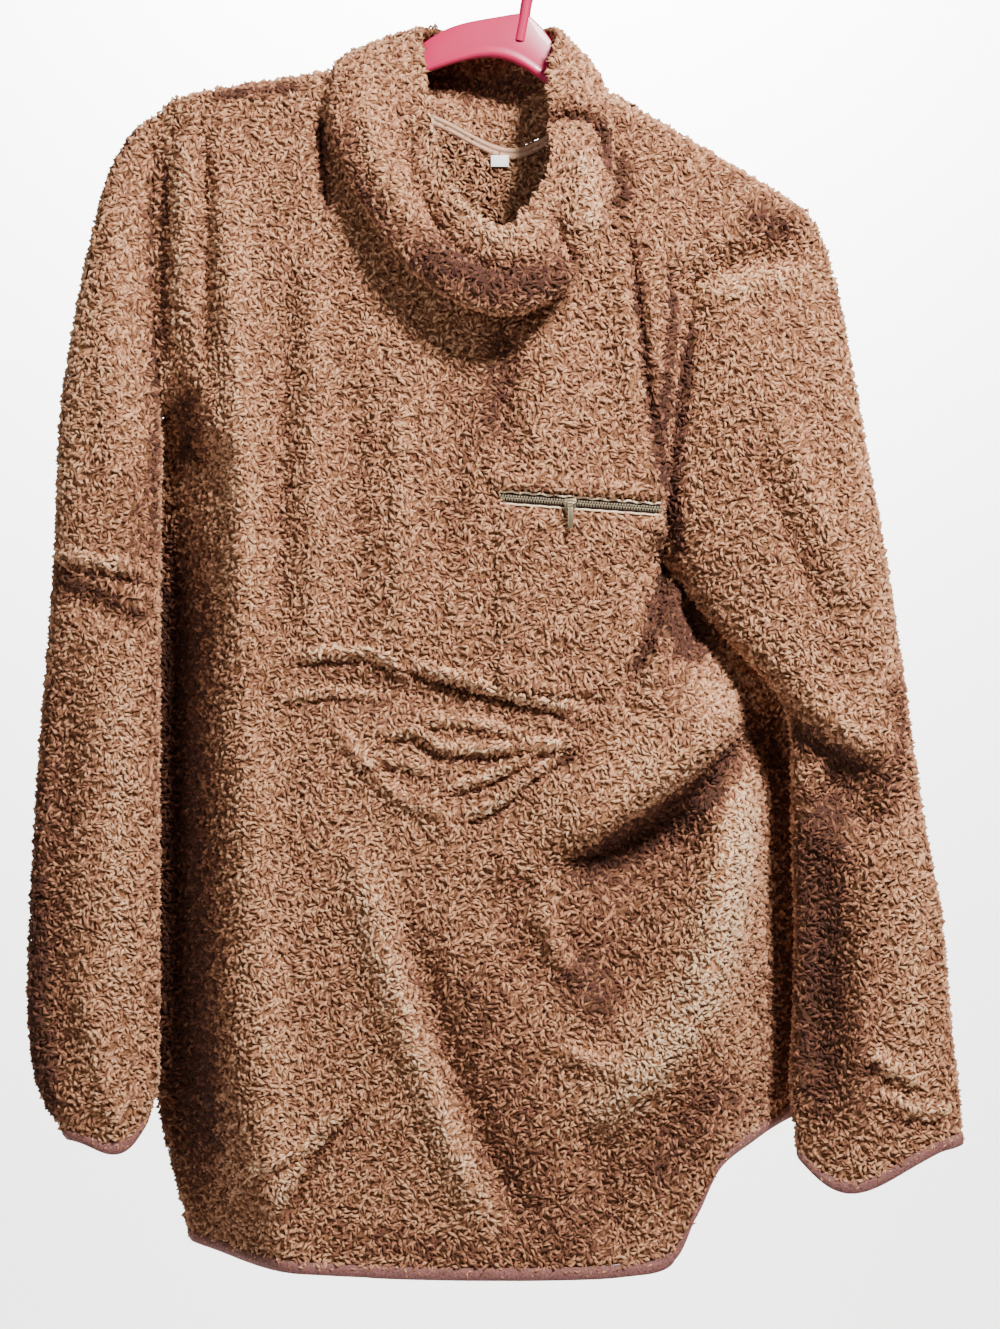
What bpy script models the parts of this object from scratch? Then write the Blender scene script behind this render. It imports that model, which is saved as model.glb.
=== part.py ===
"""A plush pullover with a funnel collar, hung by its shoulders on a moulded plastic hanger.

World frame: metres, +Z up, the front faces -Y, +X is to the right as one looks at the front.
The origin is the inside top of the hanger's hook, where a rail or a peg holds it.

The tables are in millimetres. x is measured to the right of the garment's middle, drop is
measured down from the hook, and y is the depth, with the front at negative y.
"""

import math
from collections import namedtuple

import bmesh
import bpy
import numpy as np
from mathutils import Vector
from mathutils.bvhtree import BVHTree

MM = 0.001

# Driving dimensions, in millimetres
WALL = 5.0              # plush fleece, knitted ground with its pile
COLLAR_WALL = 6.0
SEAM_WALL = 3.0         # of the collar where it is sewn to the neckline
SEAM_GAP = 0.3          # between two sewn pieces
HOOK_SIDE = 15.0        # the hook stands this far right of the garment's middle
BINDING = 8.0           # width of the binding at hem and cuffs
SEAM_ROUND = 10.0       # radius at which a panel turns into its side seam
SHOULDER_ROUND = 12.0   # radius at which a panel falls over the hanger
FRONT_EASE = 70.0       # width over which the front rises from a side seam
BACK_EASE = 55.0
FAN_OUT = 0.7           # under 1, a panel's columns spread out early below the neck
UNDERARM_DEPTH = 6.0    # y of the underarm points
SIDE_DEPTH = 19.0       # y of the side seams, behind the sleeves
SEAM_TURN = 26.0        # length over which a side seam takes its round form below an underarm
QUIET_EDGE = 26.0       # folds fade out this close to a seam
QUIET_TOP = 30.0        # and this close below the shoulders
NORMAL_TURN = 13.0      # width over which the cloth turns to face along its seam
ARM_CROWDING = 0.45     # how much closer an armhole's rows stand at its ends
ARMHOLE_DEPTH = 0.68    # an armhole's edge lies this share of the way out to the panel

# Counts of the grids
ARM_ROWS = 10           # rows beside an armhole, which a sleeve shares
SIDE_ROWS = 19          # rows from the underarm to the hem
SHOULDER_COLUMNS = 9
NECK_COLUMNS = 16       # of the front, across the neckline
BACK_NECK_COLUMNS = 10
COLLAR_ROWS = 7
RELAX_PASSES = 24
LEAST_STEP = 0.6        # millimetres between columns beside an armhole

# Outlines in (x, drop)
LEFT_SHOULDER = ((-222, 125), (-212, 115), (-198, 110.6), (-160, 104.2), (-105, 95))
RIGHT_SHOULDER = ((47, 105), (80, 124.8), (120, 148.8), (160, 172.8), (178, 186), (186, 204))
FRONT_NECK = (
    (-105, 95), (-101, 133), (-88, 172), (-66, 204), (-40, 226), (-12, 236),
    (14, 226), (33, 204), (43, 176), (46.4, 142), (47, 105),
)
BACK_NECK = ((-105, 95), (-82, 108), (-48, 124), (-8, 142), (22, 130), (47, 105))
FRONT_HEM = (
    (-204, 804), (-162, 811), (-102, 815), (-42, 817), (18, 817), (60, 815),
    (89, 808), (106, 779), (122, 752), (144, 737), (175, 723),
)
BACK_HEM = ((-204, 804), (-120, 806), (-30, 800), (50, 784), (120, 752), (175, 723))
LEFT_ARMHOLE = ((-222, 125), (-222, 175), (-222, 232), (-219, 275), (-218, 306))
RIGHT_ARMHOLE_FRONT = (
    (186, 204), (164, 211), (134, 217), (110, 223), (103, 250), (97, 300), (90, 355), (89, 399),
)
RIGHT_ARMHOLE_BACK = ((186, 204), (172, 232), (150, 280), (118, 345), (89, 399))
LEFT_SIDE = (
    (-218, 306), (-226, 336), (-234, 390), (-236, 480), (-235, 600), (-229, 690),
    (-219, 744), (-213, 768), (-204, 804),
)
RIGHT_SIDE = (
    (89, 399), (115, 420), (140, 443), (163, 472), (172, 505), (175, 570), (176, 660), (175, 723),
)
SHOULDER_LINE = (
    (-240, 137), (-222, 125), (-212, 115), (-198, 110.6), (-105, 95), (-1, 77), (47, 105),
    (160, 172.8), (178, 186), (186, 204), (200, 216),
)

# How far each panel stands from the hanger's plane, by the drop below the shoulder line
FRONT_FALL = ((0, 0), (20, 2), (60, 7), (100, 11), (160, 17), (250, 25), (350, 31), (500, 36), (720, 40))
BACK_FALL = ((0, 0), (20, 2), (60, 5), (100, 8), (160, 11), (250, 18), (500, 24), (720, 27))

# A fold follows its points; it stands out by height, or sinks where height is negative.
# A round fold falls off alike on both sides, a step keeps its height on the left of its run.
Fold = namedtuple("Fold", "points width height kind")
FRONT_FOLDS = (
    # soft falls from the collar and the shoulder
    Fold(((-120, 215), (-122, 340), (-120, 470)), 13, 2.5, "round"),
    Fold(((-72, 300), (-71, 390), (-72, 474)), 12, 2.0, "round"),
    Fold(((-184, 240), (-176, 330), (-166, 400), (-164, 480)), 17, 6.0, "round"),
    Fold(((-205, 300), (-203, 350), (-200, 420)), 15, -6.0, "round"),
    Fold(((-121, 125), (-119, 155), (-117, 185)), 9, -5.0, "round"),
    Fold(((72, 215), (84, 285), (94, 345)), 9, -6.0, "round"),
    Fold(((99, 388), (82, 440), (60, 494)), 8, -6.0, "round"),
    Fold(((58, 200), (68, 260), (71, 315)), 12, 4.0, "round"),
    # creases at the waist
    Fold(((-139, 456), (-110, 452), (-82, 454), (-66, 470)), 6.5, 4.5, "round"),
    Fold(((-68, 458), (-36, 468), (0, 478), (38, 486)), 6.5, 4.5, "round"),
    Fold(((-148, 481), (-116, 475), (-76, 478)), 6.5, 3.5, "round"),
    Fold(((-92, 500), (-62, 499), (-45, 509), (-2, 508), (38, 503)), 6.5, 4.5, "round"),
    Fold(((-62, 490), (-20, 495), (9, 503)), 6.5, 3.0, "round"),
    Fold(((-50, 535), (-20, 526), (10, 510), (38, 504)), 6.5, 4.0, "round"),
    Fold(((-39, 552), (-12, 540), (8, 520), (38, 506)), 6.5, 4.5, "round"),
    Fold(((-116, 485), (-98, 512), (-72, 538), (-50, 546), (-39, 565)), 8, 3.0, "round"),
    Fold(((-130, 470), (-60, 476), (20, 497)), 9, -4.0, "round"),
    # the belly that hangs over a deep hollow
    Fold(((135, 470), (129, 508), (102, 540), (60, 568), (20, 586)), 17, 15.0, "step"),
    Fold(((100, 560), (72, 590), (52, 640), (38, 662)), 34, -13.0, "round"),
    Fold(((140, 480), (124, 590), (104, 660), (72, 706), (30, 730)), 24, 11.0, "round"),
    Fold(((15, 684), (42, 694), (68, 700)), 8, 3.0, "round"),
    # long falls to the hem
    Fold(((-102, 552), (-72, 660), (-40, 740), (-14, 806)), 20, 6.0, "round"),
    Fold(((-62, 700), (-32, 750), (4, 806)), 17, -6.0, "round"),
    Fold(((-176, 600), (-172, 700), (-168, 790)), 26, 4.0, "round"),
    Fold(((-160, 763), (-140, 752), (-124, 743)), 7, 3.0, "round"),
    Fold(((-96, 720), (-122, 742), (-150, 788)), 7, 4.0, "round"),
)
BACK_FOLDS = (
    Fold(((-150, 240), (-158, 420), (-160, 640), (-150, 790)), 26, 6.0, "round"),
    Fold(((-70, 260), (-78, 460), (-90, 780)), 24, 4.0, "round"),
    Fold(((10, 240), (20, 420), (30, 600), (20, 770)), 28, 6.0, "round"),
    Fold(((-190, 420), (-110, 470), (-40, 480)), 16, -4.0, "round"),
    Fold(((150, 480), (110, 520), (70, 610), (60, 760)), 24, -7.0, "round"),
    Fold(((60, 260), (96, 400), (120, 480)), 18, -4.0, "round"),
)

# A sleeve's rings, each from its outer edge to its inner edge, with the depth of its middle,
# half its thickness and how far its front bows below the straight line between the edges
Ring = namedtuple("Ring", "outer inner middle half bow")
RIGHT_SLEEVE = (
    Ring((-222, 125), (-218, 306), 4, 13, 0),
    Ring((-236, 136), (-218, 313), 1, 16, 0),
    Ring((-251, 166), (-217, 322), -4, 18, 0),
    Ring((-262, 212), (-217, 336), -9, 20, 0),
    Ring((-271, 260), (-217, 354), -13, 21, 0),
    Ring((-277, 304), (-217, 375), -16, 21, 0),
    Ring((-279, 344), (-217, 396), -18, 21, 0),
    Ring((-280, 386), (-217, 420), -20, 21, 0),
    Ring((-283, 433), (-217, 452), -21, 21, 0),
    Ring((-287, 482), (-217, 494), -22, 21, 0),
    Ring((-291, 534), (-217, 541), -22, 20, 0),
    Ring((-294, 584), (-217, 590), -22, 20, 0),
    Ring((-296, 632), (-217, 638), -22, 19, 0),
    Ring((-296, 676), (-217, 682), -22, 18, 1),
    Ring((-291, 712), (-218, 712), -22, 17, 5),
    Ring((-277, 738), (-223, 730), -22, 15, 12),
)
LEFT_SLEEVE = (
    Ring((186, 204), (89, 399), 4, 13, 0),
    Ring((192, 228), (97, 409), -5, 14, 0),
    Ring((199, 268), (108, 425), -13, 16, 0),
    Ring((205, 306), (122, 441), -19, 18, 0),
    Ring((211, 342), (138, 458), -23, 20, 0),
    Ring((217, 378), (153, 474), -26, 21, 0),
    Ring((223, 414), (165, 491), -27, 21, 0),
    Ring((228, 450), (168, 513), -28, 21, 0),
    Ring((233, 486), (167, 537), -28, 20, 0),
    Ring((239, 528), (166, 564), -28, 20, 0),
    Ring((245, 564), (166, 594), -28, 20, 0),
    Ring((252, 600), (165, 624), -28, 19, 0),
    Ring((256, 636), (164, 654), -27, 19, 0),
    Ring((259, 672), (163, 684), -27, 18, 3),
    Ring((263, 706), (162, 714), -27, 17, 10),
    Ring((266, 739), (166, 748), -27, 15, 22),
)
SLEEVE_FOLDS = {
    "sleeve_right": (
        Fold(((-300, 392), (-250, 398), (-215, 404)), 9, 4.0, "round"),
        Fold(((-300, 412), (-255, 422), (-214, 446)), 9, -4.0, "round"),
        Fold(((-240, 160), (-243, 260), (-240, 372)), 13, 3.0, "round"),
        Fold(((-262, 640), (-252, 690), (-236, 748)), 13, 4.0, "round"),
        Fold(((-262, 450), (-266, 560), (-272, 640)), 15, -3.0, "round"),
    ),
    "sleeve_left": (
        Fold(((185, 236), (196, 300), (207, 360), (216, 420), (212, 510)), 11, 4.0, "round"),
        Fold(((118, 440), (152, 470), (188, 508), (206, 520), (222, 500)), 15, 8.0, "round"),
        Fold(((176, 530), (200, 545), (214, 560)), 20, -9.0, "round"),
        Fold(((214, 556), (200, 610), (196, 690), (194, 740)), 11, 5.0, "round"),
        Fold(((182, 560), (180, 640), (178, 720)), 15, -4.0, "round"),
        Fold(((222, 462), (236, 470), (250, 476)), 8, 3.0, "round"),
        Fold(((244, 724), (256, 738), (270, 748)), 8, 3.0, "round"),
    ),
}

# The collar, round its opening from the back middle by way of the left side.
# Each row gives a point of the outer belly and a point of the rim as (x, drop, y).
CollarPost = namedtuple("CollarPost", "around belly rim")
COLLAR = (
    CollarPost(0.00, (-16, 104, 34), (-21, 73, 24)),
    CollarPost(0.09, (-72, 88, 25), (-46, 69, 15)),
    CollarPost(0.17, (-108, 84, 0), (-61, 70, -5)),
    CollarPost(0.23, (-114, 108, -20), (-57, 96, -18)),
    CollarPost(0.29, (-110, 140, -31), (-54, 124, -27)),
    CollarPost(0.35, (-95, 176, -42), (-50, 148, -36)),
    CollarPost(0.42, (-72, 214, -52), (-43, 170, -43)),
    CollarPost(0.49, (-42, 240, -59), (-31, 188, -49)),
    CollarPost(0.56, (-8, 252, -63), (-12, 203, -53)),
    CollarPost(0.63, (20, 241, -62), (4, 186, -52)),
    CollarPost(0.69, (42, 216, -56), (16, 168, -46)),
    CollarPost(0.75, (53, 184, -46), (19, 146, -36)),
    CollarPost(0.81, (55, 150, -34), (16, 120, -24)),
    CollarPost(0.86, (54, 118, -19), (17, 92, -16)),
    CollarPost(0.91, (46, 90, 1), (27, 69, -5)),
    CollarPost(0.95, (28, 90, 22), (10, 69, 17)),
)

# Hanger
HANGER_CENTRE = (-1.1, 85.3)
HANGER_TILT = math.radians(10.7)
ARM_SLOPE = math.radians(20.4)
ARM_SPAN = 187.0        # from the middle to each end
ARM_TAPER = 0.5         # how much thinner an arm is at its end
WEB_THICKNESS = 4.0
WEB_HUMP = 24.0         # rise of the web towards the hook
WEB_HUMP_WIDTH = 48.0
WEB_HUMP_SIDE = -18.0   # the rise leans to the left of the hook
WEB_ARCH_TOP = -6.9     # the arch in the web's lower edge
WEB_ARCH_SIDE = -10.0
WEB_ARCH_FALL = 0.7
WEB_ARCH_ROUND = 25.0
ARM_HEIGHT = 15.0       # of an arm near the middle
ARM_END_HEIGHT = 10.0
BEAD_RADIUS = 3.2
HOOK_WIRE = 3.5         # radius of the hook's section
HOOK_RADIUS = 18.0      # inside radius of the hook
HOOK_HEIGHT = 86.8      # from the arms' meeting point to the hook's inside top

# Pocket, in (x, drop)
POCKET_TOP = ((-14, 364), (86, 371))
POCKET_BOTTOM = ((-13, 474), (52, 479))
POCKET_WALL = 4.0
WELT_TOP = ((-16, 344), (85, 352))
WELT_BOTTOM = ((-16, 353), (86, 360.5))
ZIP_TOP = ((-12, 355), (84, 362.5))
ZIP_BOTTOM = ((-12, 362.5), (84, 369.5))
ZIP_LINE = 362.7        # drop of the zip's teeth at the slider
SLIDER_X = 30.0
SLIDER_BASE = (7.0, 6.0, 2.0)
BRIDGE_STAND = 3.2      # from the slider's base to the middle of its bridge
BRIDGE_ROD = 1.1
POST_SIDE = 2.6
PULL_EYE = 3.6
PULL_HOLE = 2.1
PULL_WIDTH = 3.0
PULL_THICKNESS = 1.0
PULL_LENGTH = 15.0
LABEL_WIDTH = 11.0
LABEL_HEIGHT = 7.0
LABEL_SIDE = -9.0       # x of the label's middle, as near as a column of the tape stands
LABEL_LAP = 1.5         # of the label over the neck tape
LABEL_STAND = 2.05      # of the label in front of the tape's upper edge
TAPE_WIDTH = 7.0

# Colours as linear red, green, blue, with roughness and metallic value
PLUSH = ((0.36, 0.17, 0.085), 0.95, 0.0)
BINDING_KNIT = ((0.22, 0.08, 0.065), 0.85, 0.0)
ZIP_TAPE = ((0.06, 0.02, 0.015), 0.8, 0.0)
ZIP_METAL = ((0.75, 0.6, 0.42), 0.35, 1.0)
LABEL_WHITE = ((0.85, 0.84, 0.82), 0.8, 0.0)
HANGER_PINK = ((0.9, 0.1, 0.25), 0.3, 0.0)


def clear_scene():
    for item in list(bpy.data.objects):
        bpy.data.objects.remove(item, do_unlink=True)


def ease(t):
    """0 to 1 with level ends, as t goes from 0 to 1."""
    t = np.clip(t, 0.0, 1.0)
    return t * t * (3.0 - 2.0 * t)


def quarter_round(t):
    """The height of a quarter circle, 0 to 1 with a steep start."""
    t = np.clip(t, 0.0, 1.0)
    return np.sqrt(1.0 - (1.0 - t) ** 2)


def unit(vectors):
    return vectors / np.maximum(np.linalg.norm(vectors, axis=-1, keepdims=True), 1e-9)


def soft_table(value, table, blur):
    """A table of (place, amount) read with its corners rounded over the width blur."""
    places, amounts = np.array(table, float).T
    shifts = np.linspace(-blur, blur, 5)
    return sum(np.interp(value + shift, places, amounts) for shift in shifts) / len(shifts)


def smooth_path(points, fractions):
    """Points at these fractions of the length of a smooth curve through points."""
    points = np.array(points, float)
    before = np.vstack([2 * points[0] - points[1], points[:-1]])
    after = np.vstack([points[1:], 2 * points[-1] - points[-2]])
    slopes = (after - before) / 2.0
    steps = np.linspace(0.0, 1.0, 13)[:-1, None]
    runs = []
    for start, end, leave, arrive in zip(points, points[1:], slopes, slopes[1:]):
        cube, square = steps ** 3, steps ** 2
        run = start * (2 * cube - 3 * square + 1) + leave * (cube - 2 * square + steps)
        runs.append(run + end * (3 * square - 2 * cube) + arrive * (cube - square))
    dense = np.vstack(runs + [points[-1:]])
    lengths = np.concatenate([[0.0], np.cumsum(np.linalg.norm(np.diff(dense, axis=0), axis=1))])
    wanted = np.asarray(fractions) * lengths[-1]
    return np.stack([np.interp(wanted, lengths, column) for column in dense.T], axis=1)


def neck_fractions(neck, count):
    """Fractions of a neckline's length, spaced mostly by how far across the neck they are."""
    even = np.linspace(0.0, 1.0, 200)
    across = smooth_path(neck, even)[:, 0]
    progress = 0.45 * even + 0.55 * (across - across[0]) / (across[-1] - across[0])
    return np.interp(np.linspace(0.0, 1.0, count + 1), progress, even)


def crowded_ends(count, share):
    """Fractions from 0 to 1, closer together at both ends by this share."""
    even = np.linspace(0.0, 1.0, count + 1)
    return (1.0 - share) * even + share * 0.5 * (1.0 - np.cos(math.pi * even))


def relaxed(grid, times):
    """A grid with its points evened out between its borders, which stay where they are."""
    for _ in range(times):
        beside = grid[:-2, 1:-1] + grid[2:, 1:-1]
        grid[1:-1, 1:-1] = (beside + grid[1:-1, :-2] + grid[1:-1, 2:]) / 4.0
    return grid


def relief(x, drop, folds):
    """How far the folds raise or sink the cloth at each point."""
    total = np.zeros_like(x)
    for fold in folds:
        path = smooth_path(fold.points, np.linspace(0.0, 1.0, 24))
        runs = np.diff(path, axis=0)
        best = np.full(x.shape, 1e9)
        side = np.zeros_like(x)
        along = np.zeros_like(x)
        for index, (start, run) in enumerate(zip(path, runs)):
            length = max(np.hypot(*run), 1e-6)
            share = np.clip(((x - start[0]) * run[0] + (drop - start[1]) * run[1]) / length ** 2, 0, 1)
            off_x = x - start[0] - share * run[0]
            off_drop = drop - start[1] - share * run[1]
            away = np.hypot(off_x, off_drop)
            nearer = away < best
            best = np.where(nearer, away, best)
            side = np.where(nearer, (run[0] * off_drop - run[1] * off_x) / length, side)
            along = np.where(nearer, (index + share) / len(runs), along)
        taper = ease(np.minimum(along, 1.0 - along) * 4.0 + 0.12)
        if fold.kind == "round":
            total += fold.height * taper * np.exp(-(best / fold.width) ** 2 * 1.4)
        else:
            near = np.exp(-(best / (fold.width * 3.2)) ** 2)
            total += fold.height * taper * near * np.tanh(side / (fold.width * 0.6))
    return total


def grid_normals(grid, wrap):
    """The unit normal at each grid point, by the differences between its neighbours."""
    if wrap:
        across = np.roll(grid, -1, axis=0) - np.roll(grid, 1, axis=0)
    else:
        across = np.gradient(grid, axis=0)
    return unit(np.cross(across, np.gradient(grid, axis=1)))


def soften(vectors, wrap, times):
    """Vectors averaged with their neighbours on the grid."""
    for _ in range(times):
        if wrap:
            beside = np.roll(vectors, 1, axis=0) + np.roll(vectors, -1, axis=0)
        else:
            padded = np.pad(vectors, ((1, 1), (0, 0), (0, 0)), mode="edge")
            beside = padded[:-2] + padded[2:]
        tall = np.pad(vectors, ((0, 0), (1, 1), (0, 0)), mode="edge")
        vectors = unit(vectors * 2.0 + beside + tall[:, :-2] + tall[:, 2:])
    return vectors


def world(points):
    """Table coordinates (x, drop, y) in millimetres as world coordinates in metres."""
    points = np.asarray(points, float)
    return np.stack([points[..., 0] - HOOK_SIDE, points[..., 2], -points[..., 1]], axis=-1) * MM


def finish_material(name, look):
    colour, roughness, metallic = look
    material = bpy.data.materials.new(name)
    material.use_nodes = True
    shader = material.node_tree.nodes["Principled BSDF"]
    shader.inputs["Base Color"].default_value = (*colour, 1.0)
    shader.inputs["Roughness"].default_value = roughness
    shader.inputs["Metallic"].default_value = metallic
    return material


def make_object(name, points, faces, look, smooth=True):
    """One closed mesh object from table points, with its faces turned outwards."""
    mesh = bpy.data.meshes.new(name)
    mesh.from_pydata([tuple(point) for point in world(points)], [], faces)
    builder = bmesh.new()
    builder.from_mesh(mesh)
    bmesh.ops.triangulate(builder, faces=builder.faces)
    if builder.calc_volume(signed=True) < 0:
        bmesh.ops.reverse_faces(builder, faces=builder.faces)
    builder.to_mesh(mesh)
    builder.free()
    mesh.materials.append(finish_material(name, look))
    if smooth:
        mesh.shade_smooth()
        mesh.set_sharp_from_angle(angle=math.radians(50))
    made = bpy.data.objects.new(name, mesh)
    bpy.context.scene.collection.objects.link(made)
    return made


def shell(name, outer, inner, wrap, look):
    """A wall between two grids of points, closed at its free edges."""
    columns, rows = outer.shape[:2]
    points = np.concatenate([outer.reshape(-1, 3), inner.reshape(-1, 3)])
    inside = columns * rows
    faces = []
    for i in range(columns if wrap else columns - 1):
        beside = (i + 1) % columns
        for j in range(rows - 1):
            quad = (i * rows + j, beside * rows + j, beside * rows + j + 1, i * rows + j + 1)
            faces.append(quad)
            faces.append(tuple(inside + k for k in reversed(quad)))
        for j, turn in ((0, -1), (rows - 1, 1)):
            rim = (i * rows + j, beside * rows + j, inside + beside * rows + j, inside + i * rows + j)
            faces.append(rim[::turn])
    if not wrap:
        for i, turn in ((0, 1), (columns - 1, -1)):
            for j in range(rows - 1):
                rim = (i * rows + j, i * rows + j + 1, inside + i * rows + j + 1, inside + i * rows + j)
                faces.append(rim[::turn])
    return make_object(name, points, faces, look)


def seam_normals(fractions, tip, underarm, face):
    """Which way the cloth faces along an armhole, from the shoulder tip to the underarm."""
    rise = ease(fractions / 0.16)[:, None]
    fall = ease((fractions - 0.82) / 0.18)[:, None]
    flat = np.array([0.0, 0.0, face])
    return unit((1 - rise) * np.array(tip) + rise * (1 - fall) * flat + fall * np.array(underarm))


Panel = namedtuple("Panel", "outer inner normals columns_at_neck")


def panel(face, neck, hem, left_armhole, right_armhole, neck_columns, fall, ease_width, folds):
    """A body panel: its outer and inner grids of (x, drop, y), face -1 for the front, 1 for the back."""
    shoulder = crowded_ends(SHOULDER_COLUMNS, 0.35)
    across_neck = neck_fractions(neck, neck_columns)
    left = smooth_path(LEFT_SHOULDER, shoulder)
    right = smooth_path(RIGHT_SHOULDER, shoulder)
    top = np.vstack([left[:-1], smooth_path(neck, across_neck), right[1:]])
    spread = (top[:, 0] - top[0, 0]) / (top[-1, 0] - top[0, 0])
    spread = 0.45 * spread + 0.55 * np.linspace(0.0, 1.0, len(spread))
    bottom = smooth_path(hem, spread)
    arm = crowded_ends(ARM_ROWS, ARM_CROWDING)
    side = np.linspace(0.0, 1.0, SIDE_ROWS + 1) ** 1.12
    edge_left = np.vstack([smooth_path(left_armhole, arm), smooth_path(LEFT_SIDE, side)[1:]])
    edge_right = np.vstack([smooth_path(right_armhole, arm), smooth_path(RIGHT_SIDE, side)[1:]])
    turn = np.linspace(0.265, 0.38, len(top))[:, None]
    share = np.hstack([turn * arm[None, :], turn + (1 - turn) * side[None, 1:]])[..., None]
    share = np.concatenate([share ** FAN_OUT, share], axis=2)
    flat = top[:, None, :] * (1 - share) + bottom[:, None, :] * share
    from_left = np.concatenate([[0], np.cumsum(np.linalg.norm(np.diff(top, axis=0), axis=1))])
    from_right = from_left[-1] - from_left
    pull_left = np.clip(1 - (from_left - 18) / 150, 0, 1)[:, None, None]
    pull_right = np.clip(1 - (from_right - 18) / 170, 0, 1)[:, None, None]
    shift_left = (edge_left - flat[0])[None]
    shift_right = (edge_right - flat[-1])[None]
    flat = relaxed(flat + pull_left * shift_left + pull_right * shift_right, RELAX_PASSES)
    margin = LEAST_STEP * np.arange(len(top))[:, None]
    most = np.interp(flat[..., 1], edge_right[:, 1], edge_right[:, 0]) - margin[::-1]
    flat[:, 1:-1, 0] = np.minimum(flat[..., 0], most)[:, 1:-1]
    x, drop = flat[..., 0], flat[..., 1]
    below = np.maximum(drop - soft_table(x, SHOULDER_LINE, 6), 0.0)
    below[:SHOULDER_COLUMNS + 1, 0] = 0.0
    below[-SHOULDER_COLUMNS - 1:, 0] = 0.0
    stand = SHOULDER_ROUND * quarter_round(below / SHOULDER_ROUND) + soft_table(below, fall, 12)
    steps = np.linalg.norm(np.diff(flat, axis=0), axis=2)
    away_left = np.vstack([np.zeros(steps.shape[1]), np.cumsum(steps, axis=0)])
    away_right = away_left[-1] - away_left
    below_arm = np.concatenate([np.zeros(ARM_ROWS), side])
    closing = np.sqrt(1 - np.clip((arm - 0.78) / 0.22, 0, 1) ** 2)
    gap = face * SEAM_GAP / 2
    y = face * stand
    for away, edge, last in ((away_left, edge_left, 0), (away_right, edge_right, -1)):
        along = np.concatenate([[0], np.cumsum(np.linalg.norm(np.diff(edge, axis=0), axis=1))])
        past = np.maximum(along - along[ARM_ROWS], 0.0)
        edge_y = UNDERARM_DEPTH + (SIDE_DEPTH - UNDERARM_DEPTH) * ease(past / SEAM_TURN)
        at_arm = y[last, :ARM_ROWS + 1] * ARMHOLE_DEPTH
        edge_y[:ARM_ROWS + 1] = UNDERARM_DEPTH * (1 - closing) + at_arm * closing
        rounding = SEAM_ROUND * ease(past / SEAM_TURN)[None, :]
        curl = face * rounding * quarter_round(away / np.maximum(rounding, 0.01))
        level = edge_y[None, :] + face * rounding
        y = edge_y[None, :] + curl + (y - level) * ease(away / ease_width)
    quiet = ease(away_left / QUIET_EDGE) * ease(away_right / QUIET_EDGE) * ease(below / QUIET_TOP)
    y = y + face * quiet * relief(x, drop, folds) + gap
    outer = np.stack([x, drop, y], axis=-1)
    normals = grid_normals(outer, False)
    if np.sum(normals[..., 2]) * face < 0:
        normals = -normals
    normals = soften(normals, False, 2)
    set_edge_normals(normals, outer, face, neck_columns, away_left, away_right, arm)
    inner = outer - WALL * normals
    middle = np.concatenate([UNDERARM_DEPTH * ease((arm - 0.7) / 0.3), edge_y[ARM_ROWS + 1:]])
    limit = middle[None, :] + gap + face * 0.25 * np.clip(np.minimum(away_left, away_right), 0, 8)
    inner[..., 2] = np.minimum(inner[..., 2], limit) if face < 0 else np.maximum(inner[..., 2], limit)
    return Panel(outer, inner, normals, (SHOULDER_COLUMNS, SHOULDER_COLUMNS + neck_columns))


def set_edge_normals(normals, outer, face, neck_columns, away_left, away_right, arm):
    """Turns a panel's normals at its seams so that they match those of its neighbours."""
    first, last = SHOULDER_COLUMNS, SHOULDER_COLUMNS + neck_columns
    tips = {0: np.array([-0.6, -0.8, 0.0]), -1: np.array([0.75, -0.66, 0.0])}
    crotch = {0: np.array([0.0, 1.0, 0.0]), -1: np.array([0.77, 0.64, 0.0])}
    for column, away, out in ((0, away_left, -1), (-1, away_right, 1)):
        edge = outer[column]
        run = unit(np.gradient(edge[:, :2], axis=0))
        sideways = np.stack([out * run[:, 1], -out * run[:, 0], np.zeros(len(run))], axis=1)
        edge_normals = sideways.copy()
        edge_normals[:ARM_ROWS + 1] = seam_normals(arm, tips[column], crotch[column], face)
        edge_normals[ARM_ROWS + 1] = unit(crotch[column] * 0.4 + sideways[ARM_ROWS + 1])
        near = 1.0 - ease(away / NORMAL_TURN)[..., None]
        near[:, :ARM_ROWS] *= (away[:, :ARM_ROWS] < 0.01)[..., None]
        normals[:] = unit(near * edge_normals[None] + (1 - near) * normals)
    up = off_the_panel(outer[:, 0])
    for stretch in (slice(1, first), slice(last + 1, -1)):
        normals[stretch, 0] = up[stretch]
    lean = np.sin(np.linspace(0, math.pi, last - first + 1)) ** 0.35
    corner = np.array([0.0, -1.0, 0.0])
    forward = np.array([0.0, 0.0, face])
    normals[first:last + 1, 0] = unit(lean[:, None] * forward + (1 - lean[:, None]) * corner)


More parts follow.
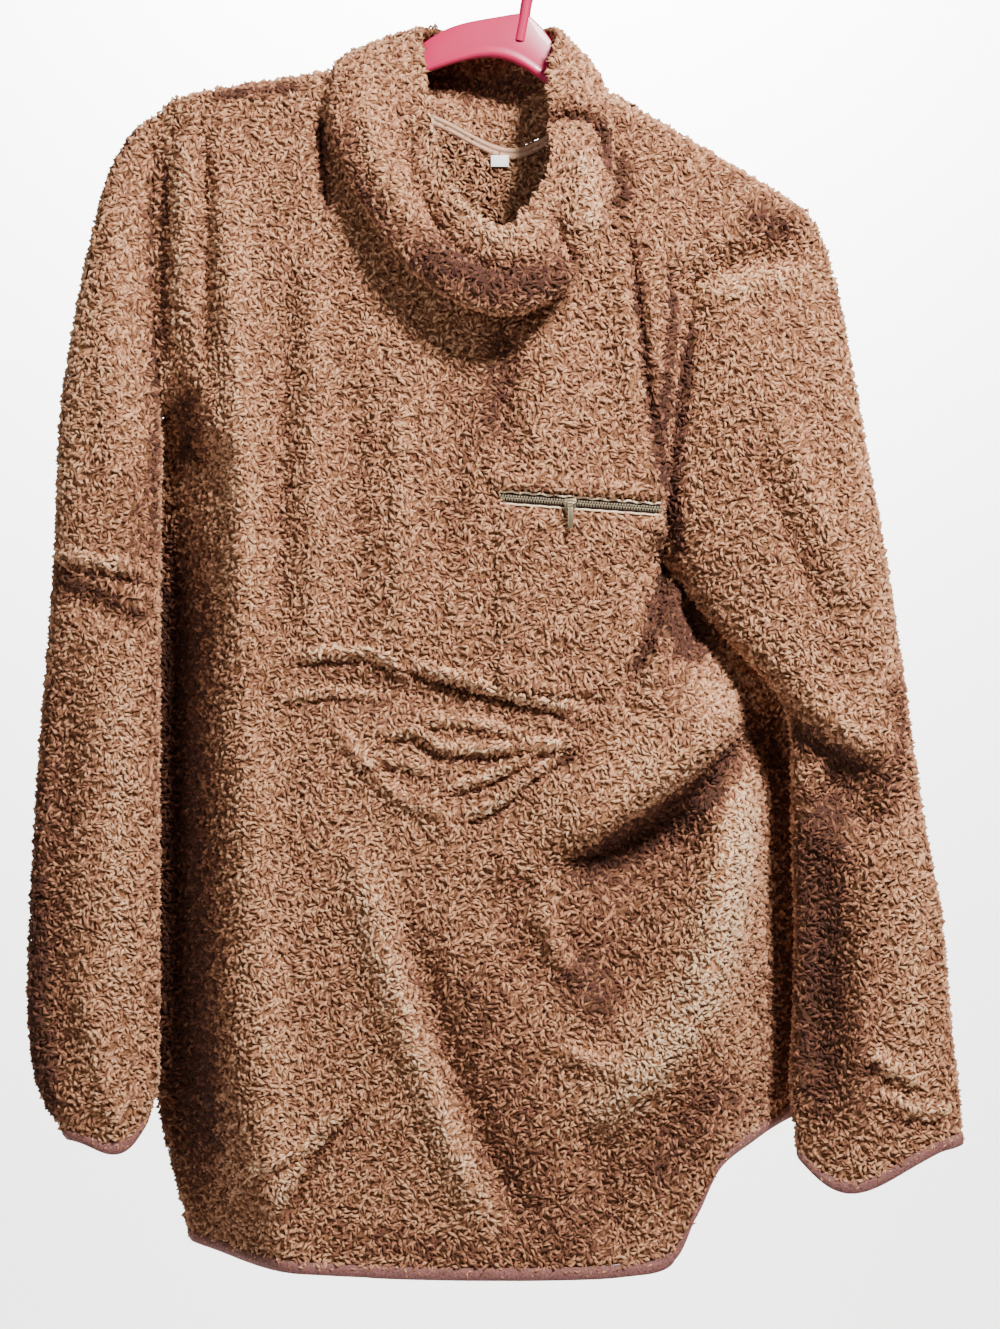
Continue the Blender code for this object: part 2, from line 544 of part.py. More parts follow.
def sleeve(name, rings, front, back, column, out):
    """A tube from the armhole of the two panels to the cuff; out is -1 on the left, 1 on the right."""
    arm = crowded_ends(ARM_ROWS, ARM_CROWDING)
    profile = (1 - np.abs(2 * arm - 1) ** 2.3) ** (1 / 2.3)
    hole_front = front.outer[column, :ARM_ROWS + 1]
    hole_back = back.outer[column, :ARM_ROWS + 1]
    hole = np.vstack([hole_front, hole_back[-2:0:-1]])
    hole[0] = (hole_front[0] + hole_back[0]) / 2
    hole[ARM_ROWS] = (hole_front[-1] + hole_back[-1]) / 2
    hole_normals = np.vstack([
        front.normals[column, :ARM_ROWS + 1], back.normals[column, ARM_ROWS - 1:0:-1],
    ])
    rows = []
    for ring in rings:
        outer_edge, inner_edge = np.array(ring.outer, float), np.array(ring.inner, float)
        line = outer_edge + arm[:, None] * (inner_edge - outer_edge)
        bow = ring.bow * np.sin(math.pi * arm ** 1.7)
        front_run = np.column_stack([line[:, 0], line[:, 1] + bow, ring.middle - ring.half * profile])
        back_run = np.column_stack([line[:, 0], line[:, 1] + 0.4 * bow, ring.middle + ring.half * profile])
        rows.append(np.vstack([front_run, back_run[-2:0:-1]]))
    lead = hole - rows[0]
    shares = (1.0, 0.72, 0.4, 0.16, 0.04)
    for index, share in enumerate(shares):
        rows[index] = rows[index] + share * lead
    away = SEAM_GAP * 1.5 * np.array([out, 0.45, 0.0])
    rows[0] = rows[0] + away
    outer = np.stack(rows, axis=1)
    face = np.concatenate([profile, -profile[-2:0:-1]])
    quiet = np.clip(face, 0, 1)[:, None] * ease(np.arange(len(rows)) / 2.0)[None, :]
    outer[..., 2] -= quiet * relief(outer[..., 0], outer[..., 1], SLEEVE_FOLDS[name])
    normals = grid_normals(outer, True)
    if np.mean(normals[1:ARM_ROWS, :, 2]) > 0:
        normals = -normals
    normals = soften(normals, True, 1)
    normals[:, 0] = hole_normals
    inner = outer - WALL * normals
    return outer, inner


def off_the_panel(edge):
    """The direction in the panel's plane that leads off its top edge."""
    run = unit(np.gradient(edge[:, :2], axis=0))
    return np.stack([run[:, 1], -run[:, 0], np.zeros(len(run))], axis=1)


def collar(front, back):
    """The funnel collar: its grids from the neck seam, over the belly, to the rim."""
    first, last = front.columns_at_neck
    back_first, back_last = back.columns_at_neck
    half = (back_last - back_first) // 2
    seam_front = front.outer[first:last + 1, 0]
    seam_back = back.outer[back_first:back_last + 1, 0]
    seam = np.vstack([seam_back[half::-1], seam_front[1:-1], seam_back[:half:-1]])
    corner_normals = np.vstack([
        back.normals[back_first + half:back_first:-1, 0], front.normals[first:last, 0],
        back.normals[back_last:back_first + half:-1, 0],
    ])
    count = len(seam)
    left_end, right_end = 0.17, 0.91
    around = np.concatenate([
        np.linspace(0, left_end, half + 1)[:-1],
        np.linspace(left_end, right_end, last - first + 1)[:-1],
        np.linspace(right_end, 1, count - half - (last - first) + 1)[:-1],
    ])
    places = np.array([post.around for post in COLLAR])
    rings = []
    for points in ([post.belly for post in COLLAR], [post.rim for post in COLLAR]):
        points = np.array(points, float)
        closed = np.vstack([points[-2:], points, points[:3]])
        at = np.concatenate([places[-2:] - 1, places, places[:3] + 1])
        shifts = np.linspace(-0.022, 0.022, 5)
        ring = sum(
            np.column_stack([np.interp(around + shift, at, column) for column in closed.T])
            for shift in shifts
        ) / len(shifts)
        rings.append(ring)
    belly, rim = rings
    middle = seam.mean(axis=0)
    away_front, away_back = off_the_panel(seam_front), off_the_panel(seam_back)
    away = np.vstack([away_back[half::-1], away_front[1:-1], away_back[:half:-1]])
    start = seam + SEAM_GAP * 1.3 * away
    steps = np.linspace(0.0, 1.0, COLLAR_ROWS + 1)
    rows = []
    for t in steps:
        rows.append(start * (1 - t) * (1 - 2 * t) + belly * 4 * t * (1 - t) + rim * t * (2 * t - 1))
    outer = np.stack(rows, axis=1)
    normals = grid_normals(outer, True)
    outward = outer[:, COLLAR_ROWS // 2] - middle
    if np.sum(normals[:, COLLAR_ROWS // 2] * outward) < 0:
        normals = -normals
    normals = soften(normals, True, 1)
    normals[:, 0] = corner_normals
    inner = outer - COLLAR_WALL * normals
    inner[:, 0] = outer[:, 0] - SEAM_WALL * corner_normals
    return outer, inner


def binding(name, outer_edge, inner_edge, before_outer, before_inner, wrap):
    """A narrow band that goes on below a panel's or a sleeve's free edge."""
    run_outer = unit(outer_edge - before_outer)
    run_inner = unit(inner_edge - before_inner)
    run = unit(run_outer + run_inner)
    across = unit(outer_edge - inner_edge)
    steps = ((SEAM_GAP, 0.0), (BINDING * 0.5, 0.5), (BINDING * 0.92, 0.0), (BINDING, -1.0))
    outer = np.stack([outer_edge + step * run + swell * across for step, swell in steps], axis=1)
    inner = np.stack([inner_edge + step * run - swell * across for step, swell in steps], axis=1)
    return shell(name, outer, inner, wrap, BINDING_KNIT)


def panel_tree(grid):
    """A search tree over a grid of points, for laying a piece on it."""
    columns, rows = grid.shape[:2]
    faces = []
    for i in range(columns - 1):
        for j in range(rows - 1):
            faces.append((i * rows + j, (i + 1) * rows + j, (i + 1) * rows + j + 1, i * rows + j + 1))
    return BVHTree.FromPolygons([Vector(point) for point in grid.reshape(-1, 3)], faces)


def surface_y(tree, x, drop, reach):
    """The foremost depth of a grid round one point, seen from the front."""
    found = []
    for side, down in ((0, 0), (reach, 0), (-reach, 0), (0, reach), (0, -reach)):
        hit = tree.ray_cast(Vector((x + side, drop + down, -400.0)), Vector((0, 0, 1)))[0]
        if hit is not None:
            found.append(hit.z)
    return min(found)


def patch(name, tree, top, bottom, columns, rows, lift, wall, look):
    """A flat piece laid on a panel between two edges, lift in front of it and wall thick."""
    top, bottom = np.array(top, float), np.array(bottom, float)
    outer = np.zeros((columns + 1, rows + 1, 3))
    for i in range(columns + 1):
        for j in range(rows + 1):
            u, v = i / columns, j / rows
            upper = top[0] * (1 - u) + top[1] * u
            lower = bottom[0] * (1 - u) + bottom[1] * u
            x, drop = upper * (1 - v) + lower * v
            outer[i, j] = (x, drop, surface_y(tree, x, drop, 4.0) - lift)
    inner = outer.copy()
    outer[..., 2] -= wall
    outer[0, :, 0] += 0.15 * wall
    outer[-1, :, 0] -= 0.15 * wall
    return shell(name, outer, inner, False, look)


def box_points(centre, size):
    """The eight corners of a box, in table coordinates."""
    corners = [(a, b, c) for a in (-0.5, 0.5) for b in (-0.5, 0.5) for c in (-0.5, 0.5)]
    return np.array(centre) + np.array(corners) * np.array(size)


BOX_FACES = ((0, 1, 3, 2), (4, 6, 7, 5), (0, 4, 5, 1), (2, 3, 7, 6), (0, 2, 6, 4), (1, 5, 7, 3))


def joined_solid(name, look, pieces):
    """One solid from several closed pieces that run into each other, joined by unions."""
    made = [make_object(f"{name}_{index}", points, faces, look) for index, (points, faces) in enumerate(pieces)]
    body = made[0]
    for tool in made[1:]:
        cut = body.modifiers.new("join", "BOOLEAN")
        cut.operation = "UNION"
        cut.object = tool
        tool.hide_render = True
        tool.display_type = "WIRE"
    body.name = name
    return body


def slider(tree):
    """The zip's slider: a base, two posts and a bridge; it gives the bridge's place."""
    seat = surface_y(tree, SLIDER_X, ZIP_LINE, 6.0) - 2.2
    front_of_base = seat - SLIDER_BASE[2]
    bridge_y = front_of_base - BRIDGE_STAND
    base = box_points((SLIDER_X, ZIP_LINE, seat - SLIDER_BASE[2] / 2), SLIDER_BASE)
    pieces = [(base, BOX_FACES)]
    for side in (-1, 1):
        place = (SLIDER_X + side * POST_SIDE, ZIP_LINE, front_of_base - BRIDGE_STAND / 2)
        pieces.append((box_points(place, (1.0, 1.6, BRIDGE_STAND + 0.8)), BOX_FACES))
    bridge = box_points((SLIDER_X, ZIP_LINE, bridge_y), (2 * POST_SIDE + 0.6, BRIDGE_ROD, BRIDGE_ROD))
    pieces.append((bridge, BOX_FACES))
    joined_solid("zip_slider", ZIP_METAL, pieces)
    return bridge_y


def pull(y):
    """The pull tab: a square eye round the bridge, and the tongue that hangs from it."""
    half, hole = PULL_EYE / 2, PULL_HOLE / 2
    thick = PULL_THICKNESS / 2
    outline = (
        (-half, -half), (-half, half), (half, half), (half, thick), (PULL_LENGTH, thick),
        (PULL_LENGTH, -thick), (half, -thick), (half, -half),
    )
    opening = ((-hole, -hole), (-hole, hole), (hole, hole), (hole, -hole))
    points = []
    for side in (-PULL_WIDTH / 2, PULL_WIDTH / 2):
        points += [(SLIDER_X + side, ZIP_LINE + down, y + depth) for down, depth in outline + opening]
    count = len(outline) + len(opening)
    faces = []
    for offset, turn in ((0, 1), (count, -1)):
        ends = [(0, 1, 9, 8), (1, 2, 10, 9), (2, 3, 6, 7, 11, 10), (7, 0, 8, 11), (3, 4, 5, 6)]
        faces += [tuple(offset + k for k in face)[::turn] for face in ends]
    for ring, turn in ((range(len(outline)), -1), (range(len(outline), count), 1)):
        ring = list(ring)
        for k, n in zip(ring, ring[1:] + ring[:1]):
            faces.append((k, n, count + n, count + k)[::turn])
    return make_object("zip_pull", np.array(points), faces, ZIP_METAL, smooth=False)


def hanger_point(side, up, y):
    """A point of the hanger, side and up along its own tilted axes from where its arms meet."""
    x = HANGER_CENTRE[0] + side * math.cos(HANGER_TILT) + up * math.sin(HANGER_TILT)
    drop = HANGER_CENTRE[1] + side * math.sin(HANGER_TILT) - up * math.cos(HANGER_TILT)
    return (x, drop, y)


def web_top(side):
    hump = WEB_HUMP * math.exp(-(((side - WEB_HUMP_SIDE) / WEB_HUMP_WIDTH) ** 4))
    return hump - math.tan(ARM_SLOPE) * abs(side)


def web_bottom(side):
    fall = math.hypot(side - WEB_ARCH_SIDE, WEB_ARCH_ROUND) - WEB_ARCH_ROUND
    arch = WEB_ARCH_TOP - WEB_ARCH_FALL * fall
    height = ARM_HEIGHT + (ARM_END_HEIGHT - ARM_HEIGHT) * abs(side) / ARM_SPAN
    return max(arch, -math.tan(ARM_SLOPE) * abs(side) - height)


def hanger():
    """The hanger: a web that tapers to its ends, a bead below it and the hook above."""
    stations = [ARM_SPAN * step / 22 for step in range(-22, 23)]
    points, faces = [], []
    for side in stations:
        end = math.sqrt(max(1.0 - (abs(side) / (ARM_SPAN + 1.5)) ** 16, 0.0))
        top, bottom = web_top(side), web_bottom(side)
        middle = (top + bottom) / 2
        top, bottom = middle + (top - middle) * end, middle + (bottom - middle) * end
        taper = 1.0 - ARM_TAPER * abs(side) / ARM_SPAN
        half, bead = WEB_THICKNESS / 2 * taper, BEAD_RADIUS * taper
        section = (
            (top, 0.0), (top - 1.0, half), (bottom + 2.2 * bead, half), (bottom + bead * 1.4, bead),
            (bottom + bead * 0.4, bead), (bottom, 0.0), (bottom + bead * 0.4, -bead),
            (bottom + bead * 1.4, -bead), (bottom + 2.2 * bead, -half), (top - 1.0, -half),
        )
        points += [hanger_point(side, up, y) for up, y in section]
    around = 10
    for i in range(len(stations) - 1):
        for k in range(around):
            n = (k + 1) % around
            faces.append((i * around + k, (i + 1) * around + k, (i + 1) * around + n, i * around + n))
    faces.append(tuple(range(around)))
    faces.append(tuple(reversed(range((len(stations) - 1) * around, len(stations) * around))))
    web = (np.array(points), faces)
    joined_solid("hanger", HANGER_PINK, [web, hook()])


def hook():
    """The hook's round rod, from inside the web up and over to its free end."""
    centre_up = HOOK_HEIGHT - HOOK_RADIUS
    line_radius = HOOK_RADIUS + HOOK_WIRE
    route = [(0.0, 6.0), (0.0, 20.0), (0.0, 32.0), (3.0, 40.0)]
    for step in range(15):
        angle = math.radians(-52.0 + 17.0 * step)
        route.append((line_radius * math.cos(angle), centre_up + line_radius * math.sin(angle)))
    sides = 10
    points, faces = [], []
    for index, (side, up) in enumerate(route):
        before, after = route[max(index - 1, 0)], route[min(index + 1, len(route) - 1)]
        run = np.array([after[0] - before[0], after[1] - before[1]])
        run = run / np.linalg.norm(run)
        for k in range(sides):
            turn = 2 * math.pi * k / sides
            off = HOOK_WIRE * math.cos(turn)
            points.append(hanger_point(side - run[1] * off, up + run[0] * off, HOOK_WIRE * math.sin(turn)))
    for i in range(len(route) - 1):
        for k in range(sides):
            n = (k + 1) % sides
            faces.append((i * sides + k, i * sides + n, (i + 1) * sides + n, (i + 1) * sides + k))
    faces.append(tuple(reversed(range(sides))))
    faces.append(tuple(range((len(route) - 1) * sides, len(route) * sides)))
    return np.array(points), faces


def neck_trims(back):
    """The tape over the back neck seam and the blank label under it, inside the back."""
    first, last = back.columns_at_neck
    middle = range(first + 3, last - 2)
    edge_inner = back.inner[middle, 0]
    below = back.inner[middle, 1]
    down = unit(below - edge_inner)
    normals = back.normals[middle, 0]
    start = edge_inner - 0.4 * normals + 0.8 * down
    outer = np.stack([start - 0.2 * normals + step * down for step in (0.0, TAPE_WIDTH)], axis=1)
    inner = outer - 1.6 * normals[:, None]
    shell("neck_tape", outer, inner, False, BINDING_KNIT)
    at = int(np.argmin(np.abs(start[:, 0] - LABEL_SIDE)))
    centre = start[at] + (TAPE_WIDTH - LABEL_LAP) * down[at]
    outer = np.zeros((2, 2, 3))
    for i, side in enumerate((-LABEL_WIDTH / 2, LABEL_WIDTH / 2)):
        for j, fall in enumerate((0.0, LABEL_HEIGHT)):
            outer[i, j] = centre + np.array([side, fall, -LABEL_STAND])
    inner = outer + np.array([0.0, 0.0, -0.8])
    shell("neck_label", outer, inner, False, LABEL_WHITE)


def pullover():
    front = panel(-1, FRONT_NECK, FRONT_HEM, LEFT_ARMHOLE, RIGHT_ARMHOLE_FRONT, NECK_COLUMNS,
                  FRONT_FALL, FRONT_EASE, FRONT_FOLDS)
    back = panel(1, BACK_NECK, BACK_HEM, LEFT_ARMHOLE, RIGHT_ARMHOLE_BACK, BACK_NECK_COLUMNS,
                 BACK_FALL, BACK_EASE, BACK_FOLDS)
    for name, piece in (("front", front), ("back", back)):
        shell(f"body_{name}", piece.outer, piece.inner, False, PLUSH)
        binding(f"hem_binding_{name}", piece.outer[:, -1], piece.inner[:, -1],
                piece.outer[:, -2], piece.inner[:, -2], False)
    for name, rings, column, out in (
        ("sleeve_right", RIGHT_SLEEVE, 0, -1), ("sleeve_left", LEFT_SLEEVE, -1, 1),
    ):
        outer, inner = sleeve(name, rings, front, back, column, out)
        shell(name, outer, inner, True, PLUSH)
        cuff = name.replace("sleeve", "cuff_binding")
        binding(cuff, outer[:, -1], inner[:, -1], outer[:, -2], inner[:, -2], True)
    outer, inner = collar(front, back)
    shell("collar", outer, inner, True, PLUSH)
    tree = panel_tree(front.outer)
    patch("chest_pocket", tree, POCKET_TOP, POCKET_BOTTOM, 9, 9, 0.5, POCKET_WALL, PLUSH)
    patch("pocket_welt", tree, WELT_TOP, WELT_BOTTOM, 12, 1, 0.5, 5.0, PLUSH)
    patch("zip_tapes", tree, ZIP_TOP, ZIP_BOTTOM, 12, 1, 0.5, 1.2, ZIP_TAPE)
    pull(slider(tree))
    neck_trims(back)


clear_scene()
pullover()
hanger()
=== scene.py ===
"""A plush pullover with a funnel collar on a pink plastic hanger, hung askew and lit in a pale studio.

World frame: metres, +Z up, the front faces -Y, the origin is the inside top of the hanger's hook.
The tables are in millimetres: x to the right of the garment's middle, drop down from the hook,
y the depth with the front at negative y. Left and right are as one looks at the front, but a sleeve
and its cuff are named for the wearer's arm.
"""

import math
from collections import namedtuple

import bmesh
import bpy
import numpy as np
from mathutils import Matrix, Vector
from mathutils.bvhtree import BVHTree

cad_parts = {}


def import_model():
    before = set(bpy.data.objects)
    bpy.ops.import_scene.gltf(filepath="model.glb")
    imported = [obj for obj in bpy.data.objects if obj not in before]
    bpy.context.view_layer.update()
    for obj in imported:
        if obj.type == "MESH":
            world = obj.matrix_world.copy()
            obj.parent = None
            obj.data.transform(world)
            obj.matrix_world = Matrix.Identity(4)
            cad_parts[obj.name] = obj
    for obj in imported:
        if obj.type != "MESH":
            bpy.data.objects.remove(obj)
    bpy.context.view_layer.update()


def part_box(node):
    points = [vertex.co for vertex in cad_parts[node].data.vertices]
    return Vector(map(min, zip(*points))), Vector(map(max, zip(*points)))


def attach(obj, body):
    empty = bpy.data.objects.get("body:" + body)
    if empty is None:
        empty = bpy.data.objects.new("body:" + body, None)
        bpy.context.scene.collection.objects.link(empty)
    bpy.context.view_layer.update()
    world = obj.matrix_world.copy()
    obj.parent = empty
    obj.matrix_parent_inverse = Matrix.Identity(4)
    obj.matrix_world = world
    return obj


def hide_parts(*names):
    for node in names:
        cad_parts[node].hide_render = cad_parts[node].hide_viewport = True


MM = 0.001

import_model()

# Shape values: lengths in millimetres, and shares
WALL = 5.0              # ground and pile of the body and the sleeves
COLLAR_WALL = 6.0
SEAM_WALL = 3.0         # of the collar where it is sewn to the neckline
SEAM_GAP = 0.3          # between two pieces that are sewn together
SLEEVE_OFF = 1.5        # a sleeve and the collar start this many gaps off the panels' edges
COLLAR_OFF = 1.3
HOOK_SIDE = 15.0        # the hook's middle is this far right of the garment's
BINDING = 8.0           # width of the hem and cuff bindings
SEAM_ROUND = 10.0
SHOULDER_ROUND = 12.0
FRONT_EASE = 70.0
BACK_EASE = 55.0
FAN_OUT = 0.7
UNDERARM_DEPTH = 6.0
SIDE_DEPTH = 19.0
PILE_OVERHANG = 4.5     # of the curls over the bindings
CREASE_FURROW = 1.9     # a crease's furrow lies this many widths below its ridge
FOLD_STATIONS = 24      # along a fold's run
FOLD_TAPER = 4.0        # a fold reaches its whole height after one part in this many of its run
FOLD_START = 0.12       # and starts with some of it
ROUND_FALL = 1.4        # how steeply a round fold falls off
STEP_REACH = 3.2        # a step fades out over this many widths
STEP_SHARPNESS = 0.6    # and turns within this share of its width
PILE_DEPTH = 1.6        # the knitted ground lies this far below the tips of the curls
SEAM_TURN = 26.0        # length over which a side seam takes its round form below an underarm
QUIET_EDGE = 10.0       # folds fade out this close to a seam
QUIET_TOP = 16.0        # and this close below the shoulders
NORMAL_TURN = 13.0      # width over which the cloth turns to face along its seam
ARM_CROWDING = 0.45     # how much closer an armhole's rows stand at its ends
ARMHOLE_DEPTH = 0.5     # an armhole's edge lies this share of the way out to the panel
ARM_EASE = 30.0         # width over which a panel rises from an armhole
UNDERARM_PLACE = (0.265, 0.38)  # share of a panel's height down to its underarm, left and right
EDGE_HOLD = 18.0        # this close to an armhole or a side the grid runs along that edge
EDGE_REACH = (150.0, 170.0)     # and it follows the edge less and less over this width, left and right
ARM_CLOSING = 0.78      # the share of an armhole from which the front and the back draw together
ARM_FLOOR = 0.7         # the share from which the inner sides of the walls draw together
LINING_RISE = 0.25      # how steeply the inner side leaves the middle beside a seam
LINING_REACH = 8.0      # and over which width
LINE_BLUR = 6.0         # half the width over which the shoulder line's corners are rounded
FALL_BLUR = 12.0        # and the corners of the tables of fall
TIP_TURN = 0.16         # the share of an armhole over which its seam turns from the shoulder to the front
UNDERARM_TURN = 0.82    # the share from which it turns to the underarm
TIP_FACING = ((-0.6, -0.8, 0.0), (0.75, -0.66, 0.0))    # which way the cloth faces there, left and right
UNDERARM_FACING = ((0.0, 1.0, 0.0), (0.77, 0.64, 0.0))
UNDERARM_WEIGHT = 0.4   # of that facing in the first row below the underarm
CORNER_SHARPNESS = 0.35         # how soon the neck's seam faces forward beside its corners
SLEEVE_ROUND = 2.3      # power of a sleeve's section: 2 is an ellipse
BOW_LEAN = 1.7          # draws a cuff's bow towards its inner edge
BACK_BOW = 0.4          # the bow of a cuff's back, as a share of its front's
HOLE_SHARES = (1.0, 0.72, 0.4, 0.16, 0.04)      # how much each of the first rings keeps to the armhole
SLEEVE_DROP = 0.45      # a sleeve stands off its armhole down by this share of how far it stands off out
SLEEVE_QUIET = 0.9      # the rings of a sleeve over which its folds set in
SLEEVE_TURN = 0.8       # the rings over which it turns from the panels' facing to its own
NECK_CORNERS = (0.17, 0.91)     # where the shoulders' seams meet the collar, round its opening
COLLAR_BLUR = 0.022     # rounds the rings through the collar's posts
COLLAR_TURN = 0.14      # the share of the collar's height over which it thickens from its seam
COLLAR_QUIET = 0.3      # the share over which its folds set in
# A binding's section: how far down its band, and how far each of its sides swells out there
BINDING_SECTION = ((SEAM_GAP, 0.0), (BINDING * 0.5, 0.5), (BINDING * 0.92, 0.0), (BINDING, -1.0))

# Counts and spacing of the grids
ARM_ROWS = 56
SIDE_ROWS = 130
SHOULDER_COLUMNS = 38
NECK_COLUMNS = 78
BACK_NECK_COLUMNS = 40
COLLAR_ROWS = 26
SLEEVE_ROWS = 110
RELAX_PASSES = 420
LEAST_STEP = 0.14       # between a panel's columns
SHOULDER_CROWDING = 0.35        # how much closer a shoulder's columns stand at its ends
SIDE_CROWDING = 1.12    # power that draws the rows below an underarm towards it
ACROSS_SHARE = 0.55     # of a neckline's spacing, that goes by how far across the neck a point is
EVEN_SHARE = 0.55       # of a hem's spacing, that is even
NORMAL_PASSES = 8       # smoothing of the normals along which a wall is thickened

# Outlines in (x, drop)
LEFT_SHOULDER = ((-222, 125), (-212, 115), (-198, 110.6), (-160, 104.2), (-105, 95))
RIGHT_SHOULDER = ((47, 105), (80, 124.8), (120, 148.8), (160, 172.8), (178, 186), (186, 204))
FRONT_NECK = (
    (-105, 95), (-101, 133), (-88, 172), (-66, 204), (-40, 226), (-12, 236),
    (14, 226), (33, 204), (43, 176), (46.4, 142), (47, 105),
)
BACK_NECK = ((-105, 95), (-82, 108), (-48, 124), (-8, 142), (22, 130), (47, 105))
FRONT_HEM = (
    (-204, 804), (-162, 811), (-102, 815), (-42, 817), (18, 817), (60, 815),
    (89, 808), (106, 779), (122, 752), (144, 737), (175, 723),
)
BACK_HEM = ((-204, 804), (-120, 806), (-30, 800), (50, 784), (120, 752), (175, 723))
LEFT_ARMHOLE = ((-222, 125), (-222, 175), (-222, 232), (-219, 275), (-218, 306))
RIGHT_ARMHOLE_FRONT = (
    (186, 204), (164, 211), (134, 217), (110, 223), (103, 250), (97, 300), (90, 355), (89, 399),
)
RIGHT_ARMHOLE_BACK = ((186, 204), (172, 232), (150, 280), (118, 345), (89, 399))
LEFT_SIDE = (
    (-218, 306), (-226, 336), (-234, 390), (-236, 480), (-235, 600), (-229, 690),
    (-219, 744), (-213, 768), (-204, 804),
)
RIGHT_SIDE = (
    (89, 399), (115, 420), (140, 443), (163, 472), (172, 505), (175, 570), (176, 660), (175, 723),
)
SHOULDER_LINE = (
    (-240, 137), (-222, 125), (-212, 115), (-198, 110.6), (-105, 95), (-1, 77), (47, 105),
    (160, 172.8), (178, 186), (186, 204), (200, 216),
)

# How far each panel stands from the hanger's plane, by the drop below the shoulder line
FRONT_FALL = ((0, 0), (20, 2), (60, 7), (100, 11), (160, 17), (250, 25), (350, 31), (500, 36), (720, 40))
BACK_FALL = ((0, 0), (20, 2), (60, 5), (100, 8), (160, 11), (250, 18), (500, 24), (720, 27))

# A fold follows its points; it stands out by height, or sinks where height is negative.
# A fold is round and falls off alike on both sides, unless it is a step, which keeps its height on
# the left of its run, or a crease, which is a narrow ridge with a furrow below it.
Fold = namedtuple("Fold", "points width height kind", defaults=("round",))
FRONT_FOLDS = (
    # soft falls from the collar and the shoulder
    Fold(((-123, 205), (-124, 340), (-122, 470)), 9, 3.5),
    Fold(((-138, 210), (-142, 330), (-142, 450)), 7, -3.5),
    Fold(((-98, 270), (-97, 380), (-96, 460)), 9, -3.0),
    Fold(((-72, 280), (-71, 390), (-72, 474)), 9, 3.0),
    Fold(((-34, 262), (-40, 330), (-44, 420)), 12, -3.0),
    Fold(((-4, 256), (-10, 300), (-8, 340)), 8, -4.5),
    Fold(((22, 250), (16, 300), (6, 340)), 10, 3.0),
    Fold(((-206, 130), (-204, 200), (-206, 270)), 8, 5.0),
    Fold(((-192, 120), (-188, 200), (-190, 290)), 5, -5.0),
    Fold(((-178, 150), (-172, 260), (-166, 400), (-164, 480)), 12, 8.0),
    Fold(((-163, 470), (-158, 600), (-150, 700), (-146, 800)), 15, 7.0),
    Fold(((-206, 292), (-199, 312), (-196, 345)), 9, -11.0),
    Fold(((-207, 340), (-206, 420), (-205, 520), (-200, 640), (-190, 720), (-184, 800)), 17, -15.0),
    Fold(((-121, 125), (-119, 155), (-117, 185)), 4.5, -7.0),
    Fold(((66, 190), (71, 240), (77, 290), (86, 352)), 4.5, -6.0),
    Fold(((58, 200), (66, 260), (68, 315)), 10, 4.0),
    Fold(((92, 366), (88, 400), (78, 444), (60, 480)), 4.5, -10.0),
    Fold(((99, 396), (90, 440), (70, 486)), 8, 5.0),
    Fold(((98, 416), (103, 434), (112, 450)), 8, -9.0),
    # creases at the waist
    Fold(((-139, 456), (-110, 452), (-82, 454), (-66, 470)), 2.7, 3.8, "crease"),
    Fold(((-70, 458), (-36, 468), (0, 478), (40, 487)), 2.7, 4.9, "crease"),
    Fold(((-148, 481), (-116, 475), (-76, 478)), 2.7, 2.8, "crease"),
    Fold(((-92, 500), (-62, 499), (-45, 509), (-2, 508), (38, 503)), 2.7, 3.4, "crease"),
    Fold(((-62, 490), (-20, 495), (9, 503)), 2.8, 2.6, "crease"),
    Fold(((-50, 535), (-20, 526), (10, 512), (38, 504)), 2.7, 3.2, "crease"),
    Fold(((-39, 552), (-12, 540), (8, 522), (38, 506)), 2.7, 3.4, "crease"),
    Fold(((-116, 485), (-98, 512), (-72, 538), (-50, 546), (-39, 565)), 5, 4.0),
    Fold(((-100, 520), (-78, 516), (-52, 524)), 2.4, 2.2, "crease"),
    Fold(((-20, 466), (6, 470), (30, 484)), 2.4, 2.2, "crease"),
    Fold(((-130, 470), (-60, 476), (20, 497)), 12, -5.0),
    # the belly that hangs over a deep hollow
    Fold(((136, 462), (128, 500), (100, 530), (60, 558), (18, 578)), 11, 18.0, "step"),
    Fold(((108, 542), (76, 574), (52, 625), (38, 660)), 28, -15.0),
    Fold(((140, 480), (126, 590), (104, 660), (72, 706), (30, 730)), 20, 16.0),
    Fold(((12, 600), (24, 632), (44, 652)), 7, 6.0),
    Fold(((15, 684), (42, 694), (68, 700)), 7, 5.0),
    Fold(((-20, 580), (0, 620), (14, 660)), 16, -4.0),
    # long falls to the hem
    Fold(((-102, 552), (-72, 660), (-40, 740), (-14, 806)), 15, 9.0),
    Fold(((-70, 600), (-44, 690), (-20, 750), (12, 806)), 13, -8.0),
    Fold(((-176, 620), (-172, 700), (-168, 790)), 20, 5.0),
    Fold(((40, 730), (52, 770), (56, 810)), 16, -6.0),
    Fold(((-164, 763), (-140, 752), (-124, 743)), 2.7, 3.2, "crease"),
    Fold(((-150, 790), (-122, 742), (-96, 716)), 3.5, 3.8, "crease"),
)
